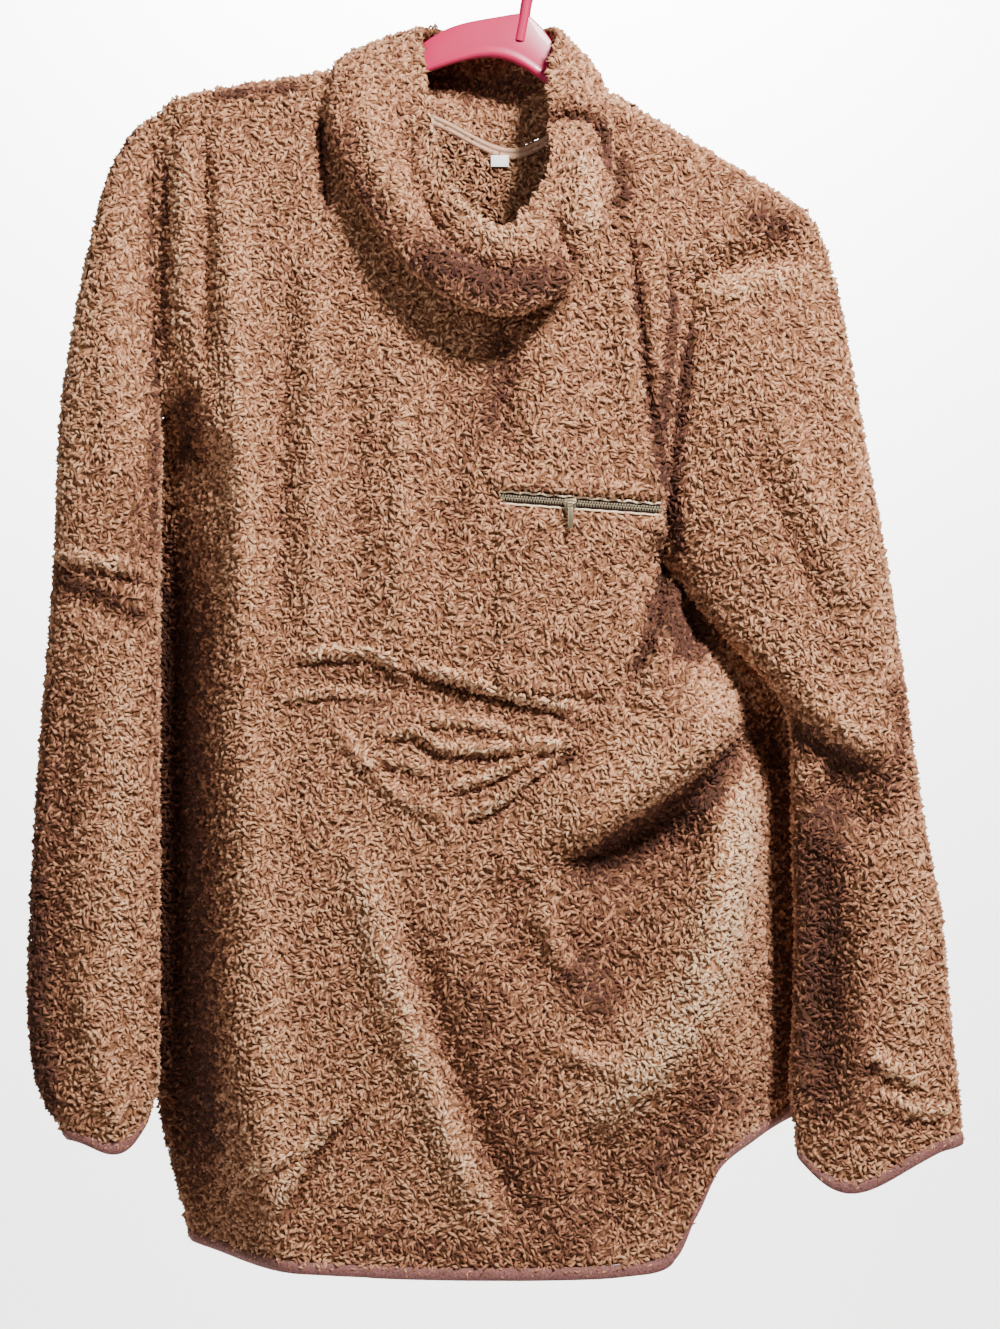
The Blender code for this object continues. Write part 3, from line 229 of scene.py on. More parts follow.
COLLAR_FOLDS = (
    # the groove that parts the turned-over corner from the back, and the corner's own edge
    Fold(((10, 135), (22, 129), (38, 129), (50, 138), (52, 160)), 4.5, -8.0),
    Fold(((19, 188), (26, 206), (36, 226)), 4.5, -6.0),
    Fold(((34, 146), (38, 176), (38, 206)), 10, 5.0),
    # the rolled rim and the groove beside it
    Fold(((-54, 104), (-48, 150), (-30, 190), (-8, 206), (12, 190)), 6, 4.0),
    Fold(((-72, 110), (-66, 160), (-44, 204), (-12, 224), (16, 214)), 6, -5.0),
    Fold(((-96, 110), (-84, 160), (-60, 204)), 9, 3.5),
)
# Painted light and shade: a stroke makes the pile paler by its height, a painted highlight, or darker where
# that is negative, a painted shade where hollows, sides that turn away and the sleeves' shadows fall
FRONT_PAINTED_SHADING = (
    Fold(((-222, 350), (-218, 480), (-212, 620), (-206, 720), (-196, 815)), 40, -0.42),
    Fold(((-207, 292), (-200, 306), (-204, 340)), 9, -0.25),
    Fold(((150, 480), (166, 560), (168, 640), (160, 740)), 20, -0.4),
    Fold(((134, 490), (116, 528), (76, 558), (20, 590)), 14, -0.5),
    Fold(((24, 636), (42, 656), (62, 668)), 15, -0.32),
    Fold(((138, 500), (130, 560), (118, 620), (98, 668), (66, 710), (34, 732)), 12, 0.36),
    Fold(((64, 770), (92, 748), (128, 690)), 26, -0.3),
    Fold(((-40, 620), (-14, 700), (20, 780), (60, 812)), 26, -0.22),
    Fold(((-102, 552), (-72, 660), (-40, 740), (-14, 806)), 8, 0.16),
    Fold(((-8, 250), (-14, 290), (-22, 330)), 14, -0.3),
    Fold(((-121, 120), (-119, 150), (-116, 190)), 5, -0.5),
    Fold(((66, 190), (71, 240), (77, 290), (86, 352)), 4.5, -0.45),
    Fold(((104, 240), (98, 300), (92, 362), (87, 400), (77, 444), (60, 480)), 4.5, -0.9),
    Fold(((90, 214), (92, 244), (88, 290), (84, 330), (88, 364)), 3.5, -0.8),
    Fold(((92, 408), (99, 434), (114, 456)), 14, -1.1),
    Fold(((-216, 140), (-215, 200), (-214, 286)), 4, -0.5),
    Fold(((56, 150), (62, 165), (60, 190)), 8, -0.45),
    Fold(((132, 184), (150, 190), (166, 200)), 12, -0.4),
    Fold(((-192, 116), (-160, 112), (-126, 108)), 4, -0.5),
    Fold(((-206, 150), (-206, 240), (-214, 300)), 5, 0.15),
    Fold(((30, 488), (36, 520), (50, 560)), 12, -0.2),
    Fold(((92, 400), (88, 450), (100, 520)), 14, -0.14),
    Fold(((-140, 790), (-100, 800), (0, 812), (60, 812)), 14, -0.2),
)
# Painted light and shade on the sleeves: darker strokes where their sides turn away and under their folds,
# paler ones along their ridges
SLEEVE_PAINTED_SHADING = {
    "sleeve_right": (
        Fold(((-298, 430), (-302, 560), (-304, 680), (-284, 750)), 23, -0.5),
        Fold(((-304, 580), (-302, 690), (-286, 750)), 19, -0.8),
        Fold(((-300, 406), (-255, 415), (-214, 438)), 7, -0.4),
        Fold(((-240, 440), (-240, 560), (-238, 690)), 11, 0.2),
        Fold(((-222, 130), (-221, 200), (-219, 300), (-218, 420)), 6, -0.45),
        Fold(((-232, 330), (-230, 380), (-226, 420)), 10, -0.2),
        Fold(((-216, 420), (-214, 560), (-214, 700)), 9, -0.25),
        Fold(((-262, 200), (-270, 300), (-274, 380)), 12, 0.14),
    ),
    "sleeve_left": (
        Fold(((176, 520), (178, 600), (180, 700), (184, 750)), 22, -0.5),
        Fold(((226, 524), (200, 520), (168, 500), (138, 470), (108, 432)), 9, -0.5),
        Fold(((104, 232), (98, 300), (93, 350), (97, 404)), 5, -0.9),
        Fold(((220, 460), (228, 500), (214, 560)), 10, -0.25),
        Fold(((216, 560), (206, 640), (204, 740)), 9, -0.2),
        Fold(((100, 236), (140, 228), (180, 224)), 8, 0.2),
        Fold(((232, 560), (236, 640), (232, 730)), 11, 0.16),
    ),
}
# Painted shade under the collar's rolled rim and in the groove at its turned-over corner, and painted
# highlight along the rim and the corner's edge
COLLAR_PAINTED_SHADING = (
    Fold(((-70, 200), (-46, 222), (-12, 234), (18, 230), (38, 214)), 15, -0.5),
    Fold(((-112, 120), (-96, 170), (-66, 212)), 8, -0.25),
    Fold(((10, 135), (22, 128), (38, 128), (50, 138), (53, 170)), 5, -0.55),
    Fold(((-54, 104), (-48, 150), (-30, 190), (-8, 206), (12, 190)), 6, 0.2),
    Fold(((36, 146), (40, 176), (38, 206)), 7, 0.15),
)
# Painted shadow of the hanger on the collar's inside at the back
NECK_PAINTED_SHADOW = (Fold(((-64, 96), (-20, 104), (20, 100)), 12, -0.42),)
BACK_FOLDS = (
    Fold(((-150, 240), (-158, 420), (-160, 640), (-150, 790)), 26, 6.0),
    Fold(((-70, 260), (-78, 460), (-90, 780)), 24, 4.0),
    Fold(((10, 240), (20, 420), (30, 600), (20, 770)), 28, 6.0),
    Fold(((-190, 420), (-110, 470), (-40, 480)), 16, -4.0),
    Fold(((150, 480), (110, 520), (70, 610), (60, 760)), 24, -7.0),
    Fold(((60, 260), (96, 400), (120, 480)), 18, -4.0),
)

# A sleeve's rings, each from its outer edge to its inner edge, with the depth of its middle,
# half its thickness and how far its front bows below the straight line between the edges
Ring = namedtuple("Ring", "outer inner middle half bow")
RIGHT_SLEEVE = (
    Ring((-222, 125), (-218, 306), 4, 13, 0),
    Ring((-236, 136), (-218, 313), 1, 16, 0),
    Ring((-251, 166), (-217, 322), -4, 18, 0),
    Ring((-262, 212), (-217, 336), -9, 20, 0),
    Ring((-271, 260), (-217, 354), -13, 21, 0),
    Ring((-277, 304), (-217, 375), -16, 21, 0),
    Ring((-279, 344), (-217, 396), -18, 21, 0),
    Ring((-280, 386), (-217, 420), -20, 21, 0),
    Ring((-283, 433), (-217, 452), -21, 21, 0),
    Ring((-287, 482), (-217, 494), -22, 21, 0),
    Ring((-291, 534), (-217, 541), -22, 20, 0),
    Ring((-294, 584), (-217, 590), -22, 20, 0),
    Ring((-296, 632), (-217, 638), -22, 19, 0),
    Ring((-296, 676), (-217, 682), -22, 18, 1),
    Ring((-291, 712), (-218, 712), -22, 17, 5),
    Ring((-277, 738), (-223, 730), -22, 15, 12),
)
LEFT_SLEEVE = (
    Ring((186, 204), (89, 399), 4, 13, 0),
    Ring((192, 228), (97, 409), -5, 14, 0),
    Ring((199, 268), (108, 425), -13, 16, 0),
    Ring((205, 306), (122, 441), -19, 18, 0),
    Ring((211, 342), (138, 458), -23, 20, 0),
    Ring((217, 378), (153, 474), -26, 21, 0),
    Ring((223, 414), (161, 491), -27, 21, 0),
    Ring((228, 450), (163, 513), -28, 21, 0),
    Ring((233, 486), (163, 537), -28, 20, 0),
    Ring((239, 528), (163, 564), -28, 20, 0),
    Ring((245, 564), (164, 594), -28, 20, 0),
    Ring((252, 600), (165, 624), -28, 19, 0),
    Ring((256, 636), (164, 654), -27, 19, 0),
    Ring((259, 672), (163, 684), -27, 18, 3),
    Ring((263, 706), (162, 714), -27, 17, 10),
    Ring((266, 739), (166, 748), -27, 15, 22),
)
SLEEVE_FOLDS = {
    "sleeve_right": (
        Fold(((-300, 392), (-250, 398), (-215, 406)), 3.2, 4.0, "crease"),
        Fold(((-300, 412), (-255, 422), (-214, 446)), 9, -4.0),
        Fold(((-240, 160), (-243, 260), (-240, 372)), 13, 3.0),
        Fold(((-262, 640), (-252, 690), (-236, 748)), 13, 4.0),
        Fold(((-268, 450), (-276, 560), (-278, 640), (-270, 720)), 13, -6.0),
    ),
    "sleeve_left": (
        Fold(((185, 236), (196, 300), (207, 360), (216, 420), (212, 510)), 11, 4.0),
        Fold(((226, 520), (200, 512), (168, 490), (138, 460), (112, 430)), 8, 9.0, "step"),
        Fold(((94, 240), (118, 232), (150, 226), (182, 222)), 8, 7.0),
        Fold(((150, 300), (176, 360), (206, 430)), 9, 4.0),
        Fold(((140, 330), (160, 380), (186, 440)), 8, -3.0),
        Fold(((176, 530), (200, 545), (214, 560)), 20, -9.0),
        Fold(((222, 548), (206, 610), (202, 690), (198, 740)), 9, 7.0),
        Fold(((182, 560), (180, 640), (178, 720)), 13, -8.0),
        Fold(((222, 462), (236, 470), (250, 476)), 8, 3.0),
        Fold(((244, 724), (256, 738), (270, 748)), 8, 3.0),
        Fold(((206, 688), (220, 700), (242, 710)), 3.4, 4.0, "crease"),
        Fold(((214, 716), (238, 726), (262, 722)), 3.4, 3.5, "crease"),
    ),
}

# The collar, round its opening from the back middle by way of the left side.
# Each row gives a point of the outer belly and a point of the rim as (x, drop, y).
CollarPost = namedtuple("CollarPost", "around belly rim")
COLLAR = (
    CollarPost(0.00, (-16, 104, 34), (-21, 73, 24)),
    CollarPost(0.09, (-72, 88, 25), (-46, 69, 15)),
    CollarPost(0.17, (-108, 84, 0), (-61, 70, -5)),
    CollarPost(0.23, (-114, 108, -20), (-57, 96, -18)),
    CollarPost(0.29, (-110, 140, -31), (-54, 124, -27)),
    CollarPost(0.35, (-95, 176, -42), (-50, 148, -36)),
    CollarPost(0.42, (-72, 214, -52), (-43, 170, -43)),
    CollarPost(0.49, (-42, 240, -59), (-31, 188, -49)),
    CollarPost(0.56, (-8, 252, -63), (-12, 203, -53)),
    CollarPost(0.63, (20, 241, -62), (4, 186, -52)),
    CollarPost(0.69, (42, 216, -56), (16, 168, -46)),
    CollarPost(0.75, (53, 184, -46), (19, 146, -36)),
    CollarPost(0.81, (55, 150, -34), (16, 120, -24)),
    CollarPost(0.86, (54, 118, -19), (17, 92, -16)),
    CollarPost(0.91, (46, 90, 1), (27, 69, -5)),
    CollarPost(0.95, (28, 90, 22), (10, 69, 17)),
)

# Hanger
HANGER_CENTRE = (-1.1, 85.3)
HANGER_TILT = math.radians(10.7)
ARM_SLOPE = math.radians(20.4)
ARM_SPAN = 187.0        # from the middle to each end
ARM_TAPER = 0.5         # how much thinner an arm is at its end
WEB_THICKNESS = 4.0
WEB_HUMP = 24.0         # rise of the web towards the hook
WEB_HUMP_WIDTH = 48.0
WEB_HUMP_SIDE = -18.0   # the rise leans to the left of the hook
WEB_ARCH_TOP = -6.9     # the arch in the web's lower edge
WEB_ARCH_SIDE = -10.0
WEB_ARCH_FALL = 0.7
WEB_ARCH_ROUND = 25.0
ARM_HEIGHT = 15.0       # of an arm near the middle
ARM_END_HEIGHT = 10.0
BEAD_RADIUS = 3.2
HANGER_STATIONS = 121
ARM_TIP = 1.5           # the arms' ends are rounded as if they went on this far
ARM_TIP_POWER = 16
# The web's upper edge: how far down, and the share of half its thickness there
WEB_EDGE = ((0.0, 0.0), (0.4, 0.7), (1.4, 1.0))
BEAD_START = 2.4        # the bead starts this many radii above the lower edge
BEAD_TURNS = (-0.7, -0.2, 0.4, 1.0)
HOOK_WIRE = 3.5         # radius of the hook's section
HOOK_NECK = ((0.0, 6.0), (0.0, 20.0), (0.0, 32.0), (3.0, 40.0))
HOOK_START = -52.0      # degrees round the hook's middle
HOOK_STEP = 8.5
HOOK_STEPS = 29
HOOK_STATIONS = 70
HOOK_SIDES = 20
HOOK_RADIUS = 18.0      # inside radius of the hook
HOOK_HEIGHT = 86.8      # from the arms' meeting point to the hook's inside top

# Pocket, in (x, drop)
POCKET_TOP = ((-14, 364), (86, 371))
POCKET_BOTTOM = ((-13, 474), (52, 479))
POCKET_WALL = 4.0
WELT_WALL = 5.0
PATCH_COLUMNS = 40
PATCH_STAND = 0.4       # the backs of the pocket, the welt and the tapes stand this far off the panel
PATCH_EDGE = 0.35       # thickness of a patch at its edge, as a share of its wall
PATCH_ROUND = 3.0       # the rows and columns over which it thickens
PATCH_REACH = 4.0       # a patch clears the panel this far round each of its points
COVER_DROPS = (348, 472)        # between them the pocket and its zip cover the front
COVER_RIGHT = ((348, 84), (372, 84), (479, 50))         # their right edge, as (drop, x)
COVER_MARGIN = 3.0      # the front's curls go on this far under their sides
LIP_RADIUS = 0.7        # of the pale edges of the zip's slot
WELT_TOP = ((-16, 344), (85, 352))
WELT_BOTTOM = ((-16, 353), (86, 360.5))
ZIP_TOP = ((-12, 355), (84, 362.5))
ZIP_BOTTOM = ((-12, 362.5), (84, 369.5))
ZIP_TAPE = 1.0          # thickness of the tapes
LIP_WAVE = 1.7          # radians from one point of a lip's line to the next
LIP_STRAY = (("zip_lip_upper", 0, 0.5), ("zip_lip_lower", -1, 0.15))   # how unevenly each edge runs
ZIP_TEETH = 60
TOOTH = (0.9, 0.7, 1.8)         # along the zip, in depth and in height
TOOTH_STAND = 0.45      # of the teeth in front of the tapes
TOOTH_ROWS = ((-0.75, 0.0), (0.75, 0.8))        # each row's drop from the zip's middle, and its shift
SLIDER_BASE = 2.0       # thickness of the slider's base
SLIDER_BEVEL = 0.6
BRIDGE_INSET = 1.1      # from the slider's ends to the bridge
BRIDGE_SUNK = 0.4       # depth of its feet in the base
BRIDGE_FRONT = 0.6      # from the slider's front to the middle of the bridge
BRIDGE_ROD = 0.55       # radius of the bridge
PULL_EYE = 3.6          # outer diameter of the pull's eye
PULL_HOLE = 2.1
PULL_WIDTH = 3.0
PULL_THICKNESS = 1.0
TONGUE_TOP = 1.2        # from the middle of the eye down to the tongue
TONGUE_BEVEL = 0.4

# Neck tape
TAPE_WIDTH = 7.0
TAPE_FROM = 0.3         # the shares of the back neckline that it leaves free at its ends
TAPE_TO = 0.2
TAPE_OFF = 0.4          # off the panel's inner side
TAPE_DOWN = 0.8         # below the seam
TAPE_FRONT = 1.0        # from there to the tape's front, and to its rear
TAPE_REAR = 0.2
PIPING_SWELL = 0.9      # height of the two cords in the tape

# The pile: how many curls to a square metre, their size in millimetres and their colours
CURLS_PER_M2 = 172000.0
COLLAR_SHARE = 1.2      # of that, on the collar's outside
NECK_VIEW_DROP = 270.0  # down to here, and between these sides, the back's inner side shows in the neck
NECK_VIEW_SIDES = (-120.0, 70.0)
CURL_LENGTH = 6.6
CURL_WIDTH = 1.9
CURL_HEIGHT = 2.6
CURL_CLUMP = 75.0       # noise scale of the way neighbouring curls lie
CURL_SEED = 7
TONE_MIDDLE = 0.5
RELIEF_PAINTED_SHADING = 0.2    # painted highlight and shade: how much paler the pile is on a fold that stands out, and darker in a sunk one
TONE_REACH = 8.0        # millimetres of relief that make most of that difference
CREASE_PAINTED_SHADING = 0.28   # the same painted highlight and shade for the narrow creases
CREASE_REACH = 2.5
FACING_GAIN = 3.0       # how soon a stroke of painted light and shade shows where a surface turns to the front
CURL_TURN = 5.0 * math.pi       # how far the noise turns the curls
# How much single curls stray: turn and lift in radians, size as a share of a curl, and tone
CURL_STRAY = (
    ("turn", -0.7, 0.7, 3), ("lift", -0.3, 0.3, 5), ("size", 0.7, 1.3, 11), ("tone", -0.24, 0.24, 17),
)
CURL_CHOICE_SEED = 13
# Painted shade and light in the colours: the ground is dark for the shade between the curls, the curls'
# darkest colour is painted shadow, the root colour is painted shade at their roots, and the palest colour
# is a painted highlight
GROUND_DARK = "4a2a1b"
GROUND_LIGHT = "9c6c4b"
CURL_PAINTED_SHADOW = "3a2018"
CURL_ROOT_SHADE = "4c291d"
CURL_DEEP = "6e432f"
CURL_MIDDLE = "b9805c"
CURL_LIGHT = "dda980"
CURL_PAINTED_HIGHLIGHT = "f0c89f"

# One curl is a bent spindle: its middle's sideways bend, lean and height as shares of its size, and
# how high its five points stand, from its two tips and its two sides to its back; the lower, the more
# painted root shade a point takes
CURL_POINT_HEIGHTS = (0.1, 0.1, 0.45, 0.45, 1.0)
CurlForm = namedtuple("CurlForm", "bend lean height")
CURL_FORMS = (
    CurlForm(0.5, 0.0, 1.0), CurlForm(-0.6, 0.1, 0.85), CurlForm(0.25, -0.15, 1.15),
    CurlForm(-0.2, 0.2, 0.95), CurlForm(0.8, 0.05, 0.75),
)

# Cut sizes of the cloths, in metres and square metres, of what shows and is built
Cloth = namedtuple("Cloth", "name flat area rests_on others")

# The studio: lights as (name, place, what it is aimed at, size, watts)
LIGHTS = (
    ("key", (0.85, -1.35, 1.0), (0.0, 0.0, -0.42), 0.4, 150.0),
    ("fill", (-1.2, -2.0, 0.2), (0.0, 0.0, -0.42), 1.2, 15.0),
    ("back", (0.2, 1.6, 1.2), (0.0, 0.0, -0.42), 1.2, 32.0),
    ("wash", (0.0, 3.3, 1.8), (0.0, 5.0, -0.6), 1.8, 720.0),
)
SKY_STRENGTH = 0.1
SKY_COLOUR = (1.0, 0.99, 0.97, 1.0)
STAGE = (
    ("backdrop", (-8.0, 5.0, -2.2), (8.0, 5.05, 6.0)),
    ("floor", (-8.0, -7.0, -2.25), (8.0, 5.05, -2.2)),
)
STAGE_BEVEL = 5.0       # millimetres
CAMERA_PLACE = (-0.027, -2.23, -0.4587)
CAMERA_LENS = 99.3


def ease(t):
    """0 to 1 with level ends, as t goes from 0 to 1."""
    t = np.clip(t, 0.0, 1.0)
    return t * t * (3.0 - 2.0 * t)


def quarter_round(t):
    """The height of a quarter circle, 0 to 1 with a steep start."""
    t = np.clip(t, 0.0, 1.0)
    return np.sqrt(1.0 - (1.0 - t) ** 2)


def unit(vectors):
    """Vectors of length 1 in the same directions."""
    return vectors / np.maximum(np.linalg.norm(vectors, axis=-1, keepdims=True), 1e-9)


def soft_table(value, table, blur):
    """A table of (place, amount) read with its corners rounded over the width blur."""
    places, amounts = np.array(table, float).T
    shifts = np.linspace(-blur, blur, 5)
    return sum(np.interp(value + shift, places, amounts) for shift in shifts) / len(shifts)


def curve(start, end, leave, arrive, t):
    """The smooth curve from start to end that leaves and arrives with these slopes."""
    run = start * (2 * t ** 3 - 3 * t ** 2 + 1) + leave * (t ** 3 - 2 * t ** 2 + t)
    return run + end * (3 * t ** 2 - 2 * t ** 3) + arrive * (t ** 3 - t ** 2)


def lengths_along(points):
    """The distance along a row of points from its start to each of them."""
    return np.concatenate([[0.0], np.cumsum(np.linalg.norm(np.diff(points, axis=0), axis=1))])


def smooth_path(points, fractions):
    """Points at these fractions of the length of a smooth curve through points."""
    points = np.array(points, float)
    before = np.vstack([2 * points[0] - points[1], points[:-1]])
    after = np.vstack([points[1:], 2 * points[-1] - points[-2]])
    slopes = (after - before) / 2.0
    steps = np.linspace(0.0, 1.0, 13)[:-1, None]
    runs = [curve(*ends, steps) for ends in zip(points, points[1:], slopes, slopes[1:])]
    dense = np.vstack(runs + [points[-1:]])
    lengths = lengths_along(dense)
    wanted = np.asarray(fractions) * lengths[-1]
    return np.stack([np.interp(wanted, lengths, column) for column in dense.T], axis=1)


def neck_fractions(neck, count):
    """Fractions of a neckline's length, spaced mostly by how far across the neck they are."""
    even = np.linspace(0.0, 1.0, 200)
    across = smooth_path(neck, even)[:, 0]
    share = (across - across[0]) / (across[-1] - across[0])
    progress = (1.0 - ACROSS_SHARE) * even + ACROSS_SHARE * share
    return np.interp(np.linspace(0.0, 1.0, count + 1), progress, even)


def crowded_ends(count, share):
    """Fractions from 0 to 1, closer together at both ends by this share."""
    even = np.linspace(0.0, 1.0, count + 1)
    return (1.0 - share) * even + share * 0.5 * (1.0 - np.cos(math.pi * even))


def relaxed(grid, times):
    """A grid with its points evened out between its borders, which stay where they are."""
    for _ in range(times):
        beside = grid[:-2, 1:-1] + grid[2:, 1:-1]
        grid[1:-1, 1:-1] = (beside + grid[1:-1, :-2] + grid[1:-1, 2:]) / 4.0
    return grid


def relief(x, drop, folds):
    """How far the folds raise or sink the cloth at each point."""
    total = np.zeros_like(x)
    for fold in folds:
        path = smooth_path(fold.points, np.linspace(0.0, 1.0, FOLD_STATIONS))
        runs = np.diff(path, axis=0)
        best = np.full(x.shape, 1e9)
        side = np.zeros_like(x)
        along = np.zeros_like(x)
        for index, (start, run) in enumerate(zip(path, runs)):
            length = max(np.hypot(*run), 1e-6)
            share = np.clip(((x - start[0]) * run[0] + (drop - start[1]) * run[1]) / length ** 2, 0, 1)
            off_x = x - start[0] - share * run[0]
            off_drop = drop - start[1] - share * run[1]
            away = np.hypot(off_x, off_drop)
            nearer = away < best
            best = np.where(nearer, away, best)
            side = np.where(nearer, (run[0] * off_drop - run[1] * off_x) / length, side)
            along = np.where(nearer, (index + share) / len(runs), along)
        taper = ease(np.minimum(along, 1.0 - along) * FOLD_TAPER + FOLD_START)
        if fold.kind == "round":
            total += fold.height * taper * np.exp(-(best / fold.width) ** 2 * ROUND_FALL)
        elif fold.kind == "crease":
            ends = np.exp(-np.maximum(best ** 2 - side ** 2, 0.0) / fold.width ** 2)
            ridge = np.exp(-(side / fold.width) ** 2)
            furrow = np.exp(-(side / fold.width - CREASE_FURROW) ** 2)
            total += fold.height * taper * ends * (ridge - furrow)
        else:
            near = np.exp(-(best / (fold.width * STEP_REACH)) ** 2)
            total += fold.height * taper * near * np.tanh(side / (fold.width * STEP_SHARPNESS))
    return total


def painted_tone_of(surface, raised, folds, strokes, facing=1.0):
    """The tone of the pile at each point, painted light and shade: paler on a fold and a crease's ridge,
    darker in a sunk fold and a crease's furrow, and paler or darker in each stroke.
    """
    x, drop = surface[..., 0], surface[..., 1]
    creased = relief(x, drop, [fold for fold in folds if fold.kind == "crease"])
    tone = RELIEF_PAINTED_SHADING * np.tanh(raised / TONE_REACH)
    tone = tone + CREASE_PAINTED_SHADING * np.tanh(creased / CREASE_REACH)
    return np.clip(TONE_MIDDLE + tone + facing * relief(x, drop, strokes), 0.02, 1.0)


def grid_normals(grid, wrap):
    """The unit normal at each grid point, by the differences between its neighbours."""
    if wrap:
        across = np.roll(grid, -1, axis=0) - np.roll(grid, 1, axis=0)
    else:
        across = np.gradient(grid, axis=0)
    return unit(np.cross(across, np.gradient(grid, axis=1)))


def soften(vectors, wrap, times):
    """Vectors averaged with their neighbours on the grid."""
    for _ in range(times):
        if wrap:
            beside = np.roll(vectors, 1, axis=0) + np.roll(vectors, -1, axis=0)
        else:
            padded = np.pad(vectors, ((1, 1), (0, 0), (0, 0)), mode="edge")
            beside = padded[:-2] + padded[2:]
        tall = np.pad(vectors, ((0, 0), (1, 1), (0, 0)), mode="edge")
        vectors = unit(vectors * 2.0 + beside + tall[:, :-2] + tall[:, 2:])
    return vectors


def world(points):
    """Table coordinates (x, drop, y) in millimetres as world coordinates in metres."""
    points = np.asarray(points, float)
    return np.stack([points[..., 0] - HOOK_SIDE, points[..., 2], -points[..., 1]], axis=-1) * MM


def hanger_point(side, up, y):
    """A point of the hanger, side and up along its own tilted axes from where its arms meet."""
    x = HANGER_CENTRE[0] + side * math.cos(HANGER_TILT) + up * math.sin(HANGER_TILT)
    drop = HANGER_CENTRE[1] + side * math.sin(HANGER_TILT) - up * math.cos(HANGER_TILT)
    return (x, drop, y)


def web_top(side):
    """The height of the web's upper edge, which rises towards the hook."""
    hump = WEB_HUMP * math.exp(-(((side - WEB_HUMP_SIDE) / WEB_HUMP_WIDTH) ** 4))
    return hump - math.tan(ARM_SLOPE) * abs(side)


def web_bottom(side):
    """The height of the web's lower edge: the arms' undersides and the arch between them."""
    fall = math.hypot(side - WEB_ARCH_SIDE, WEB_ARCH_ROUND) - WEB_ARCH_ROUND
    arch = WEB_ARCH_TOP - WEB_ARCH_FALL * fall
    height = ARM_HEIGHT + (ARM_END_HEIGHT - ARM_HEIGHT) * abs(side) / ARM_SPAN
    return max(arch, -math.tan(ARM_SLOPE) * abs(side) - height)


def resample(grid, count):
    """A grid with its rows replaced by this many, on smooth curves through the rows it had."""
    rows = grid.shape[1]
    place = np.linspace(0.0, rows - 1.0, count)
    low = np.minimum(place.astype(int), rows - 2)
    t = (place - low)[None, :, None]
    before, start = grid[:, np.maximum(low - 1, 0)], grid[:, low]
    end, after = grid[:, low + 1], grid[:, np.minimum(low + 2, rows - 1)]
    return curve(start, end, (end - before) / 2.0, (after - start) / 2.0, t), place


def linear(code):
    """A colour written as six hex digits, in linear light."""
    channels = [int(code[k:k + 2], 16) / 255.0 for k in (0, 2, 4)]
    return tuple(c / 12.92 if c <= 0.04045 else ((c + 0.055) / 1.055) ** 2.4 for c in channels)


def add(tree, kind, inputs=None, **settings):
    """One node with its settings, and its inputs set to a value or linked from a socket."""
    node = tree.nodes.new(kind)
    for name, value in settings.items():
        setattr(node, name, value)
    for name, value in (inputs or {}).items():
        if isinstance(value, bpy.types.NodeSocket):
            tree.links.new(value, node.inputs[name])
        else:
            node.inputs[name].default_value = value
    return node


def new_material(name):
    """An empty material with its shader joined to the output: the material, its tree and the shader."""
    material = bpy.data.materials.new(name)
    material.use_nodes = True
    tree = material.node_tree
    tree.nodes.clear()
    shader = add(tree, "ShaderNodeBsdfPrincipled")
    add(tree, "ShaderNodeOutputMaterial", {"Surface": shader.outputs["BSDF"]})
    return material, tree, shader


def ramp(tree, factor, stops):
    """A colour ramp; stops are (place, hex colour)."""
    node = add(tree, "ShaderNodeValToRGB", {"Fac": factor})
    elements = node.color_ramp.elements
    while len(elements) < len(stops):
        elements.new(0.5)
    for element, (place, code) in zip(elements, stops):
        element.position = place
        element.color = (*linear(code), 1.0)
    return node.outputs["Color"]


def plush_ground():
    """Polyester plush: the knitted ground between the curls, dark where little light gets in."""
    material, tree, shader = new_material("plush_ground")
    place = add(tree, "ShaderNodeTexCoord").outputs["Object"]
    curls = add(tree, "ShaderNodeTexNoise", {
        "Vector": place, "Scale": 240.0, "Detail": 3.0, "Roughness": 0.6, "Distortion": 1.2,
    }, noise_dimensions="3D").outputs["Fac"]
    colour = ramp(tree, curls, ((0.38, GROUND_DARK), (0.6, GROUND_LIGHT)))
    bump = add(tree, "ShaderNodeBump", {"Height": curls, "Strength": 0.9, "Distance": 2.0 * MM})
    # painted light and shade: the surface's tone darkens or brightens the ground's colour
    tone = add(tree, "ShaderNodeAttribute", attribute_name="tone").outputs["Fac"]
    strength = add(tree, "ShaderNodeMapRange", {"Value": tone, "To Min": 0.25, "To Max": 1.5}).outputs[0]
    toned = add(tree, "ShaderNodeVectorMath", {0: colour, "Scale": strength}, operation="SCALE")
    tree.links.new(toned.outputs[0], shader.inputs["Base Color"])
    tree.links.new(bump.outputs["Normal"], shader.inputs["Normal"])
    shader.inputs["Roughness"].default_value = 0.95
    shader.inputs["Specular IOR Level"].default_value = 0.1
    return material


